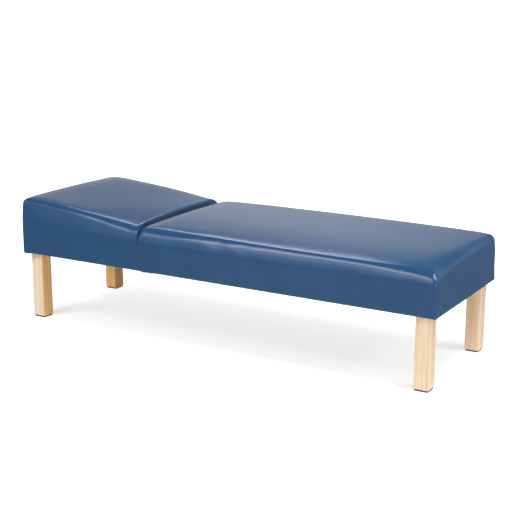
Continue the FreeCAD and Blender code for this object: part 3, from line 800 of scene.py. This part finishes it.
@dataclass
class VinylCover:
    """A pad's cover: top, skirt, crease wall and turned-under hem.

    The grid lines near an edge and the steps of the hem, inwards and up, are in millimetres. The twin is the
    coarse cover of the simulation.
    """

    name: str
    node: str
    form: PadForm
    swell: PressureSwell
    puckers: tuple[Pucker, ...]
    vinyl: CoatedVinyl
    thickness: float = 1.2 * MM
    near_edge: tuple[float, ...] = (0, 3, 6, 9, 12.5, 16.5, 21, 26, 32, 39, 47, 56, 65, 74.2, 86, 100)
    pitch: float = 18 * MM
    skirt_rows: int = 6
    twin_drops: tuple[float, ...] = (18, 36, 54, 74.2, 100)
    twin_skirt_rows: int = 4
    hem: tuple[tuple[float, float], ...] = ((0, 4), (0, 2), (0.6, 0.6), (2, 0), (5, 0), (10, 0), (16, 0))
    frame_grip: float = 6 * MM
    fold_grip: float = 2 * MM
    loose_above_frame: tuple[float, float] = (4 * MM, 34 * MM)
    loose_past_fold: float = 45 * MM

    def skirt_end(self) -> float:
        """The height at which the skirt ends and the hem begins to turn under."""
        return self.form.underside + self.hem[0][1] * MM

    def lines(self, start: float, stop: float, coarse: bool) -> np.ndarray:
        """Grid lines between two edges, drawn closer together near both.

        Args:
            start: the lower edge.
            stop: the upper edge.
            coarse: true for even lines a pitch apart.

        Returns:
            The lines' places in metres.
        """
        if coarse:
            return np.linspace(start, stop, round((stop - start) / self.pitch) + 1)
        close = np.array(self.near_edge) * MM
        middle = round((stop - start - 2 * close[-1]) / self.pitch) + 1
        return np.concatenate((start + close[:-1], np.linspace(start + close[-1], stop - close[-1], middle),
                               stop - close[-2::-1]))

    def blank(self, coarse: bool) -> Shape:
        """The cover without its hem: a sharp box without a bottom, laid on the soft form.

        Args:
            coarse: true for the simulation's twin.

        Returns:
            The cover, with its crease wall ending at the deck.
        """
        form = self.form
        crease_x = form.crease * form.end.value
        xs = self.lines(*sorted((crease_x, form.tip * form.end.value)), coarse)
        ys = self.lines(-form.half_width, form.half_width, coarse)
        box = bmesh.new()
        bmesh.ops.create_grid(box, x_segments=len(xs) - 1, y_segments=len(ys) - 1, size=1.0)
        for vert in box.verts:
            column = round((vert.co.x + 1) / 2 * (len(xs) - 1))
            row = round((vert.co.y + 1) / 2 * (len(ys) - 1))
            vert.co = (xs[column], ys[row], float(form.edge_height(xs[column])))
        drops = [drop * MM for drop in (self.twin_drops if coarse else self.near_edge[1:])]
        rows = self.twin_skirt_rows if coarse else self.skirt_rows
        rings = [(drop, 0.0) for drop in drops] + [(drops[-1], row / rows) for row in range(1, rows + 1)]
        rim = [edge for edge in box.edges if edge.is_boundary]
        for drop, part in rings:
            verts, rim = grow_rim(box, rim)
            for vert in verts:
                level = float(form.edge_height(vert.co.x)) - drop
                vert.co.z = level + (self.skirt_end() - level) * part
        below = [face for face in box.faces if face.calc_center_median().z < form.knee
                 and all(abs(vert.co.x - crease_x) < 0.01 * MM for vert in face.verts)]
        bmesh.ops.delete(box, geom=below, context="FACES")
        bmesh.ops.recalc_face_normals(box, faces=box.faces)
        lay_points(box, form.settle(read_points(box.verts)))
        return box

    def held(self, points: np.ndarray) -> np.ndarray:
        """True for each point that lies on the frame or deep in the crease."""
        deep = self.form.outward(points[:, 0]) < self.form.crease + self.fold_grip
        return (points[:, 2] < self.form.knee + self.frame_grip) | deep

    def looseness(self, points: np.ndarray) -> np.ndarray:
        """How freely each point follows the foam: not on the frame, nor in the crease."""
        outward, up = self.form.outward(points[:, 0]) - self.form.crease, points[:, 2] - self.form.knee
        return ease(up, *self.loose_above_frame) * ease(outward, 0.0, self.loose_past_fold)

    def press_out(self, points: np.ndarray) -> np.ndarray:
        """The foam's swell at the cover's points, from the simulated twin.

        Args:
            points: the cover's points.

        Returns:
            How far each moves.
        """
        twin = new_object(f"{self.name}_twin", self.blank(coarse=True))
        mesh = twin.data
        twin_points = read_points(mesh.vertices)
        moved = self.swell.run(twin, self.held(twin_points))
        bpy.data.objects.remove(twin)
        bpy.data.meshes.remove(mesh)
        log.info("%s: the foam lifts its cover by up to %.1f mm", self.name, moved[:, 2].max() / MM)
        return self.swell.carry(twin_points, moved, points) * self.looseness(points)[:, None]

    def turn_hem(self, box: Shape) -> None:
        """Turns the lower edge of the skirt under the rails.

        Args:
            box: the cover.
        """
        form = self.form
        rim = [edge for edge in box.edges if edge.is_boundary
               and all(abs(vert.co.z - self.skirt_end()) < 0.1 * MM for vert in edge.verts)]
        outline = {}
        for inset, height in ((inset * MM, height * MM) for inset, height in self.hem[1:]):
            verts, rim = grow_rim(box, rim)
            margin = max(form.corner, inset)
            for vert in verts:
                start = outline.get(tuple(round(value, 5) for value in vert.co), vert.co.copy())
                limit = Vector((min(form.outward(start.x), form.tip - margin) * form.end.value,
                                max(margin - form.half_width, min(form.half_width - margin, start.y))))
                vert.co.xy = limit + (start.xy - limit).normalized() * max(form.corner - inset, 0.0)
                vert.co.z = form.underside + height
                outline[tuple(round(value, 5) for value in vert.co)] = start
        bmesh.ops.remove_doubles(box, verts=box.verts, dist=0.01 * MM)

    def build(self) -> Object:
        """Makes the cover, presses it out, puckers it and gives it thickness.

        Returns:
            The finished piece.
        """
        box = self.blank(coarse=False)
        points = read_points(box.verts)
        lay_points(box, points + self.press_out(points))
        self.turn_hem(box)
        points = read_points(box.verts)
        lay_points(box, points + sum(pucker.move(points) for pucker in self.puckers))
        cover = new_object(self.name, box)
        smooth = cover.modifiers.new("smooth", "SUBSURF")
        smooth.levels = smooth.render_levels = 1
        smooth.boundary_smooth = "PRESERVE_CORNERS"
        wall = cover.modifiers.new("wall", "SOLIDIFY")
        wall.thickness = self.thickness
        wall.offset = -1.0
        self.vinyl.dress(cover)
        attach(cover, BODY)
        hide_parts(self.node)
        return cover


@dataclass
class FoamPad:
    """The foam inside a cover: the same form, drawn in, closed by a flat bottom on the deck."""

    name: str
    node: str
    form: PadForm
    foam: UpholsteryFoam
    draw_in: float = 5 * MM
    pitch: float = 24 * MM
    rows: int = 6

    def build(self) -> Object:
        """Makes the pad from a block whose points are laid on the drawn-in form.

        Returns:
            The finished piece.
        """
        low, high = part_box(self.node)
        span, centre = high - low, (low + high) / 2
        block = level_grid(low, high, self.pitch)
        for vert in block.verts:
            vert.co.z = float(self.form.edge_height(vert.co.x))
        rim = [edge for edge in block.edges if edge.is_boundary]
        for row in range(1, self.rows + 1):
            verts, rim = grow_rim(block, rim)
            for vert in verts:
                top = float(self.form.edge_height(vert.co.x))
                vert.co.z = top + (low.z - top) * row / self.rows
        middle = np.array([centre.x, centre.y, low.z])
        shrink = 1.0 - self.draw_in / np.array([span.x / 2, span.y / 2, span.z])
        lay_points(block, (self.form.settle(read_points(block.verts)) - middle) * shrink + middle)
        bmesh.ops.edgeloop_fill(block, edges=[edge for edge in block.edges if edge.is_boundary])
        bmesh.ops.recalc_face_normals(block, faces=block.faces)
        pad = new_object(self.name, block)
        self.foam.dress(pad)
        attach(pad, BODY)
        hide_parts(self.node)
        return pad


@dataclass
class DustCover:
    """The cambric that closes the underside, cut out round the legs and stapled to the rails.

    It sags between the rails in slow waves, given in radians to the metre.
    """

    name: str
    node: str
    cambric: BlackCambric
    pitch: float = 15 * MM
    leg_gap: float = 1 * MM
    held_margin: float = 30 * MM
    sag: float = 4 * MM
    sag_run: float = 220 * MM
    slack: tuple[float, float] = (0.75, 0.25)
    waves: tuple[float, float] = (11.0, 7.0)

    def cut_out(self, sheet: Shape, leg: str) -> float:
        """Cuts the sheet out round a leg.

        Args:
            sheet: the sheet.
            leg: the leg's CAD node.

        Returns:
            The area that is cut out.
        """
        gap = Vector((self.leg_gap, self.leg_gap, 0.0))
        low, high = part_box(leg)[0] - gap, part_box(leg)[1] + gap
        for axis, across in enumerate((Vector((1, 0, 0)), Vector((0, 1, 0)))):
            for place in (low[axis], high[axis]):
                bmesh.ops.bisect_plane(sheet, geom=[*sheet.verts, *sheet.edges, *sheet.faces],
                                       dist=0.001 * MM, plane_co=across * place, plane_no=across)
        inside = [face for face in sheet.faces
                  if all(low[axis] < face.calc_center_median()[axis] < high[axis] for axis in (0, 1))]
        area = sum(face.calc_area() for face in inside)
        bmesh.ops.delete(sheet, geom=inside, context="FACES")
        return area

    def build(self) -> Object:
        """Makes the sheet, cuts it round the legs, lets it sag between the rails and thickens it.

        Returns:
            The finished piece.
        """
        low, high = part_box(self.node)
        span = high - low
        sheet = level_grid(low, high, self.pitch)
        cut = sum(self.cut_out(sheet, f"leg_{side}_{end}")
                  for side in ("front", "rear") for end in ("head", "foot"))
        for vert in sheet.verts:
            edge = min(high.x - abs(vert.co.x), high.y - abs(vert.co.y)) - self.held_margin
            loose = float(ease(np.array(edge), 0.0, self.sag_run))
            wave = math.cos(vert.co.x * self.waves[0]) * math.cos(vert.co.y * self.waves[1])
            vert.co.z -= self.sag * loose * (self.slack[0] + self.slack[1] * wave)
        bmesh.ops.recalc_face_normals(sheet, faces=sheet.faces)
        if sum(face.normal.z for face in sheet.faces) > 0:
            bmesh.ops.reverse_faces(sheet, faces=sheet.faces)
        cover = new_object(self.name, sheet)
        wall = cover.modifiers.new("wall", "SOLIDIFY")
        wall.thickness = span.z
        wall.offset = 1.0
        self.cambric.dress(cover)
        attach(cover, BODY)
        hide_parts(self.node)
        return cover


@dataclass
class TimberFrame:
    """The rails, braces, blocks, decks, legs and hardware that come from the CAD model as they are."""

    maple: ClearMaple
    ply: Plywood
    rubber: GlideRubber
    steel: ZincSteel
    hardware: tuple[str, ...] = ("screws", "staples", "bolts", "washers", "nuts")

    def dress(self) -> None:
        """Gives each CAD node the finish of what it is made of."""
        grains = {
            Grain.LENGTHWAYS: ("side_rail",),
            Grain.CROSSWAYS: ("end_rail", "brace"),
            Grain.MITRED: ("corner_block_front_head", "corner_block_rear_foot"),
            Grain.MITRED_BACK: ("corner_block_front_foot", "corner_block_rear_head"),
        }
        wears = [(starts, SawnPine(f"planed_pine_{grain.name.lower()}", grain))
                 for grain, starts in grains.items()]
        wears += [("leg_", self.maple), ("glide_", self.rubber), (("main_deck", "head_deck"), self.ply)]
        for name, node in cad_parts.items():
            finish = next((finish for starts, finish in wears if name.startswith(starts)), None)
            if name.endswith(self.hardware):
                finish = self.steel
            if finish is not None:
                finish.dress(node)
                log.info("%s wears %s", name, finish.name)


@dataclass(frozen=True)
class Softbox:
    """A rectangular studio lamp, aimed at a point of the couch."""

    name: str
    place: tuple[float, float, float]
    aim: tuple[float, float, float]
    size: tuple[float, float]
    power: float

    def hang(self) -> None:
        """Puts the lamp in the scene."""
        lamp = bpy.data.lights.new(self.name, "AREA")
        lamp.shape = "RECTANGLE"
        lamp.size, lamp.size_y = self.size
        lamp.energy = self.power
        obj = bpy.data.objects.new(self.name, lamp)
        obj.location = self.place
        obj.rotation_euler = (Vector(self.aim) - Vector(self.place)).to_track_quat("-Z", "Y").to_euler()
        bpy.context.scene.collection.objects.link(obj)


def ray_kinds(tree: Tree) -> tuple[Socket, Node]:
    """Tells apart the rays that reach a surface.

    Args:
        tree: the node tree that asks.

    Returns:
        What is 1 for a camera ray, and what is 1 for a ray that gloss or glass sends on.
    """
    path = add_node(tree, "LightPath")
    mirrored = add_node(tree, "Math", {"operation": "ADD", "use_clamp": True},
                        {0: path.outputs["Is Glossy Ray"], 1: path.outputs["Is Transmission Ray"]})
    return path.outputs["Is Camera Ray"], mirrored


@dataclass(frozen=True)
class WhiteRoom:
    """The room, which fills the shadows and shows in the couch's gloss.

    The gloss sees white paper that ends, from about 14 to 21 degrees up, under a dim ceiling. Towards the
    foot it is dimmer and stands taller. These ranges are parts of a direction of length 1.
    """

    fill: float = 0.17
    paper: float = 0.81
    ceiling: float = 0.22
    paper_ends: tuple[float, float] = (0.235, 0.365)
    dimmer_over: tuple[float, float] = (-0.44, -0.31)
    dimmer_share: float = 0.62
    taller_over: tuple[float, float] = (-0.53, -0.40)
    taller_by: float = 0.09

    def put_up(self) -> None:
        """Makes the room the scene's world."""
        world = bpy.data.worlds.new("studio")
        world.use_nodes = True
        bpy.context.scene.world = world
        tree = world.node_tree
        sky = add_node(tree, "TexCoord").outputs["Generated"]
        toward = add_node(tree, "SeparateXYZ", links={"Vector": sky})
        dimmed = (self.paper, self.dimmer_share * self.paper)
        paper = add_node(tree, "MapRange", ramp(self.dimmer_over, dimmed), {"Value": toward.outputs["X"]})
        rise = add_node(tree, "MapRange", ramp(self.taller_over, (0.0, -self.taller_by)),
                        {"Value": toward.outputs["X"]})
        height = add_node(tree, "Math", {"operation": "ADD"}, {0: toward.outputs["Z"], 1: rise})
        shown = add_node(tree, "MapRange", {"interpolation_type": "SMOOTHSTEP",
                                            **ramp(self.paper_ends, (self.paper, self.ceiling))},
                         {"Value": height, "To Min": paper})
        camera, mirrored = ray_kinds(tree)
        lit = add_node(tree, "Background", {"Color": WHITE, "Strength": self.fill})
        seen = add_node(tree, "Background", {"Color": WHITE}, {"Strength": shown})
        white = add_node(tree, "Background", {"Color": WHITE})
        room = add_node(tree, "MixShader", links={0: mirrored, 1: lit, 2: seen})
        view = add_node(tree, "MixShader", links={0: camera, 1: room, 2: white})
        link(tree, tree.nodes["World Output"], {"Surface": view})


@dataclass(frozen=True)
class PaperSweep:
    """The white paper that the couch stands on.

    The camera sees it lifted to white, so that only the couch's own shadow shows, and the lift paints that
    shadow lighter towards the rear and deeper at the foot end. Places are in metres, and the bands give
    where a change starts and ends.
    """

    paper: str = "F2F2F2"
    half_size: float = 60.0
    white_from: tuple[float, float] = (1.0, 2.4)
    glow_band: tuple[float, float] = (-0.1, 0.03)
    glow: tuple[float, float] = (0.55, 0.69)
    foot_shadow_at: float = 0.83
    foot_shadow_reach: float = 0.26
    foot_shadow: float = 0.15
    under_couch: tuple[tuple[float, float], ...] = ((0.84, 0.98), (0.22, 0.36))
    lift: tuple[float, float] = (0.07, 0.64)
    gloss_band: tuple[float, float] = (-0.8, 0.8)
    gloss: tuple[float, float] = (0.68, 0.25)
    head_band: tuple[float, float] = (-1.6, -0.5)
    head_share: float = 0.5

    def camera_glow(self, tree: Tree, where: Socket, place: Node) -> Node:
        """How much the paper is lifted for the camera, which also paints the couch's shadow lighter at the
        rear and deeper at the foot.

        Args:
            tree: the material's node tree.
            where: the Object coordinates.
            place: the node that parts them.

        Returns:
            The node that gives the lift.
        """
        away = add_node(tree, "VectorMath", {"operation": "LENGTH"}, {0: where})
        far = add_node(tree, "MapRange", {"interpolation_type": "SMOOTHSTEP", **ramp(self.white_from)},
                       {"Value": away})
        # Painted light: the lift grows towards the rear, which lightens the couch's shadow there.
        near = add_node(tree, "MapRange", ramp(self.glow_band, self.glow), {"Value": place.outputs["Y"]})
        # Painted shadow: the lift is lowered at the foot end, so the shadow there is as deep as along the
        # middle.
        foot = within(tree, place.outputs["X"], self.foot_shadow_at, 0.0, self.foot_shadow_reach)
        under = add_node(tree, "Math", {"operation": "MULTIPLY_ADD", 1: -self.foot_shadow},
                         {0: foot, 2: near})
        return add_node(tree, "MapRange", links={"Value": far, "To Min": under})

    def bounce(self, tree: Tree, place: Node) -> Node:
        """Painted light: how much the paper glows for what stands round it, in place of the light it gives
        back: most under the couch, at the inner faces of the legs.

        Args:
            tree: the material's node tree.
            place: the node that parts the Object coordinates.

        Returns:
            The node that gives the light.
        """
        bands = [within(tree, place.outputs[at], 0.0, *band) for at, band in enumerate(self.under_couch)]
        below = add_node(tree, "Math", {"operation": "MULTIPLY"}, dict(enumerate(bands)))
        return add_node(tree, "MapRange", ramp((0.0, 1.0), self.lift), {"Value": below})

    def in_gloss(self, tree: Tree, place: Node) -> Node:
        """The paper as the vinyl shows it: bright before the couch, dimmer behind it and past its head.

        Args:
            tree: the material's node tree.
            place: the node that parts the Object coordinates.

        Returns:
            The node that shines as bright as that.
        """
        dim = add_node(tree, "MapRange", ramp(self.gloss_band, self.gloss), {"Value": place.outputs["Y"]})
        past = add_node(tree, "MapRange", ramp(self.head_band, (self.head_share, 1.0)),
                        {"Value": place.outputs["X"]})
        shown = add_node(tree, "Math", {"operation": "MULTIPLY"}, {0: dim, 1: past})
        return add_node(tree, "Emission", {"Color": WHITE}, {"Strength": shown})

    def lay(self) -> None:
        """Lays the paper as the scene's floor."""
        shape = bmesh.new()
        bmesh.ops.create_grid(shape, x_segments=2, y_segments=2, size=self.half_size)
        floor = new_object("floor", shape)
        sweep = bpy.data.materials.new("white_sweep")
        sweep.use_nodes = True
        tree = sweep.node_tree
        paper = tree.nodes["Principled BSDF"]
        for name, value in {"Base Color": linear(self.paper), "Roughness": 0.9, "Specular IOR Level": 0.1,
                            "Emission Color": WHITE}.items():
            paper.inputs[name].default_value = value
        where = add_node(tree, "TexCoord").outputs["Object"]
        place = add_node(tree, "SeparateXYZ", links={"Vector": where})
        camera, mirrored = ray_kinds(tree)
        seen = add_node(tree, "Mix", links={0: camera, 2: self.bounce(tree, place),
                                            3: self.camera_glow(tree, where, place)})
        link(tree, paper, {"Emission Strength": seen})
        skin = add_node(tree, "MixShader", links={0: mirrored, 1: paper, 2: self.in_gloss(tree, place)})
        link(tree, tree.nodes["Material Output"], {"Surface": skin})
        floor.data.materials.append(sweep)


@dataclass
class Studio:
    """The room, the paper, the lamps and the camera."""

    room: WhiteRoom = WhiteRoom()
    sweep: PaperSweep = PaperSweep()
    eye: tuple[float, float, float] = (2.3794, -3.9976, 1.536)
    yaw: float = -30.43
    pitch: float = 14.69
    lens: float = 84.77
    sensor: float = 36.0
    clip_end: float = 200.0
    lamps: tuple[Softbox, ...] = (
        Softbox("key", (-1.45, -3.19, 3.35), (0.20, -0.49, 0.42), (2.7, 1.7), 91.0),
        Softbox("front_low", (-1.8, -4.07, 2.0), (0.16, -0.46, 0.42), (2.9, 0.8), 21.0),
        Softbox("front_fill", (3.2, -3.4, 1.6), (0.5, -0.3, 0.35), (1.6, 1.6), 8.0),
        Softbox("top_box", (1.7, -0.45, 4.0), (0.3, 0.0, 0.4), (1.6, 1.2), 96.0),
        Softbox("rear_strip", (-1.68, 2.2, 2.7), (0.15, -0.2, 0.45), (1.93, 0.26), 13.8),
        Softbox("foot_box", (3.2, 0.5, 2.6), (0.9, 0.0, 0.36), (1.4, 1.4), 37.0),
        Softbox("leg_fill", (3.3, -1.6, 0.55), (0.2, 0.0, 0.2), (1.0, 0.6), 11.0),
    )

    def place_camera(self) -> None:
        """Stands the camera where the photograph was taken from."""
        camera = bpy.data.cameras.new("camera")
        camera.lens = self.lens
        camera.sensor_width = self.sensor
        camera.clip_end = self.clip_end
        obj = bpy.data.objects.new("camera", camera)
        yaw, pitch = math.radians(self.yaw), math.radians(self.pitch)
        ahead = Vector((math.sin(yaw) * math.cos(pitch), math.cos(yaw) * math.cos(pitch), -math.sin(pitch)))
        obj.location = self.eye
        obj.rotation_euler = ahead.to_track_quat("-Z", "Y").to_euler()
        bpy.context.scene.collection.objects.link(obj)
        bpy.context.scene.camera = obj

    def set_up(self) -> None:
        """Places the camera, hangs the lamps and puts up the room and the paper."""
        self.place_camera()
        for lamp in self.lamps:
            lamp.hang()
        self.room.put_up()
        self.sweep.lay()


MAIN_FRONT = EdgeRun((
    (0.0, 32, 23, 18, 6.5, 4), (0.05, 34, 23, 20, 7, 3), (0.107, 35, 23, 21, 7.5, 3),
    (0.164, 24, 16, 20, 7, 10), (0.22, 17, 16, 19, 6, 13), (0.276, 13, 21, 22, 7, 13),
    (0.345, 10.5, 20, 22, 8, 10.5), (0.413, 9, 18.5, 22, 9, 8.3), (0.498, 8, 17.5, 21.5, 10, 6.7),
    (0.582, 7.5, 17, 22, 11.3, 5.3), (0.663, 8.5, 15, 20.5, 11.5, 3.8), (0.742, 9.4, 15, 20.5, 12, 2.5),
    (0.82, 10, 16, 22, 13.2, 2.5), (0.896, 14, 21, 24, 13.5, 4), (0.94, 17, 24, 24, 13.5, 5),
    (0.968, 19, 26, 24, 13.5, 5.5), (1.0, 21, 27, 24, 13.5, 6)))
MAIN_REAR = EdgeRun((
    (0.0, 20, 20, 2, 7, 0), (0.05, 16, 18, 2, 3, 0), (0.14, 12, 16, 1, 0, 0), (0.3, 9, 13, 1, -2, 0),
    (0.8, 9, 13, 1, -2, 0), (1.0, 14, 16, 1, 0, 0)))
MAIN_FAR = EdgeRun((
    (0.0, 28, 27, 1, 7, 0), (0.09, 44, 36, 3, 6.5, 0), (0.25, 52, 40, 4, 4.5, 0), (0.5, 42, 34, 3, 3, 0),
    (0.75, 36, 31, 3, 3, 0), (1.0, 28, 28, 1, 4, 0)))
MAIN_FOLD = EdgeRun(((0.0, 20, 18, 0, 4, 0), (0.15, 9, 9, 0, 7, 0), (1.0, 8, 8, 0, 11, 0)))
HEAD_FRONT = EdgeRun((
    (0.0, 23, 16, 19, 9, 10), (0.04, 23, 16, 19, 8.7, 10), (0.136, 22, 16, 19, 7, 10),
    (0.302, 20, 15, 18, 2.5, 9), (0.471, 22, 18, 13, -2, 3), (0.644, 23, 16, 13, -4, 3),
    (0.775, 25, 15, 13, -4, 4), (1.0, 22, 16, 8, -3, 3)))
HEAD_REAR = EdgeRun((
    (0.0, 22, 22, 2, 6, 0), (0.12, 18, 20, 2, 3, 0), (0.35, 13, 17, 2, -2, 0), (0.7, 13, 17, 2, -3, 0),
    (0.9, 16, 19, 2, -1, 0), (1.0, 20, 22, 2, 3, 0)))
HEAD_FAR = EdgeRun((
    (0.0, 24, 24, 1, 4, 0), (0.15, 20, 20, 1, 1, 0), (0.5, 22, 22, 2, 0, 0), (1.0, 34, 32, 2, 2, 0)))
HEAD_FOLD = EdgeRun((
    (0.0, 20, 16, 5, -1, 0), (0.1, 13, 15, 12, -3, 0), (0.6, 16, 18, 14, -5, 0), (1.0, 22, 22, 14, -6, 0)))
SEAT, HEAD_RISE = 459 * MM, 51 * MM


def couch_forms() -> tuple[PadForm, PadForm]:
    """Reads the pads' sizes from the CAD nodes and gives their edges their roundings.

    Returns:
        The forms of the flat pad and of the head pad.
    """
    low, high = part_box("main_cover")
    head_low, head_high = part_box("head_cover")
    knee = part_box("main_deck")[1].z
    main_form = PadForm(PadEnd.FOOT, low.x, high.x, high.y, SEAT, knee, low.z, 0.0,
                        MAIN_FRONT, MAIN_REAR, MAIN_FAR, MAIN_FOLD,
                        corner_tops=(16 * MM, 22 * MM), fold_sides=(34 * MM, 26 * MM))
    head_form = PadForm(PadEnd.HEAD, -head_high.x, -head_low.x, head_high.y, SEAT, knee, head_low.z,
                        HEAD_RISE, HEAD_FRONT, HEAD_REAR, HEAD_FAR, HEAD_FOLD,
                        corner_tops=(14 * MM, 52 * MM), fold_sides=(5 * MM, 6 * MM), crown=3 * MM)
    return main_form, head_form


def main() -> None:
    """Builds and dresses the couch, and sets it in the studio."""
    logging.basicConfig(level=logging.INFO, format="%(message)s")
    bpy.context.scene.view_settings.view_transform = "Standard"
    Studio().set_up()

    TimberFrame(ClearMaple("lacquered_maple"), Plywood("birch_plywood"), GlideRubber("moulded_rubber"),
                ZincSteel("zinc_plated_steel")).dress()
    main_form, head_form = couch_forms()
    vinyl = CoatedVinyl("calendered_vinyl")
    foam = UpholsteryFoam("cut_polyurethane_foam")
    swell = PressureSwell()
    pieces = [
        VinylCover("main_pad_vinyl", "main_cover", main_form, swell, (
            Pucker((90, -296, 424), (150, 30, 24), (0, -1.3, 0.3), (112, 0, 0)),
            Pucker((904, -292, 430), (10, 12, 12), (-2.2, 2.2, 0)),
            Pucker((914, -300, 392), (70, 90, 80), (5.0, 1.0, 0)),
            Pucker((-300, -308, 282), (13, 7, 12), (0, -1.0, -5.2)),
            Pucker((-268, -308, 282), (11, 7, 12), (0, -1.0, -4.6)),
            Pucker((918, 0, 284), (9, 700, 30), (4.0, 0, -4.6)),
        ), vinyl),
        VinylCover("head_pad_vinyl", "head_cover", head_form, swell, (
            Pucker((-600, -300, 440), (150, 30, 26), (0, -0.6, 0), (160, 0, 0)),
            Pucker((-892, -308, 282), (20, 7, 12), (0, -1.0, -5.4)),
        ), vinyl),
        FoamPad("main_pad_foam", "main_foam", main_form, foam),
        FoamPad("head_pad_foam", "head_foam", head_form, foam),
        DustCover("underside_cambric", "dust_cover", BlackCambric("bonded_cambric")),
    ]
    for piece in pieces:
        made = piece.build()
        log.info("%s: %d points before its modifiers", made.name, len(made.data.vertices))


if __name__ == "__main__":
    main()
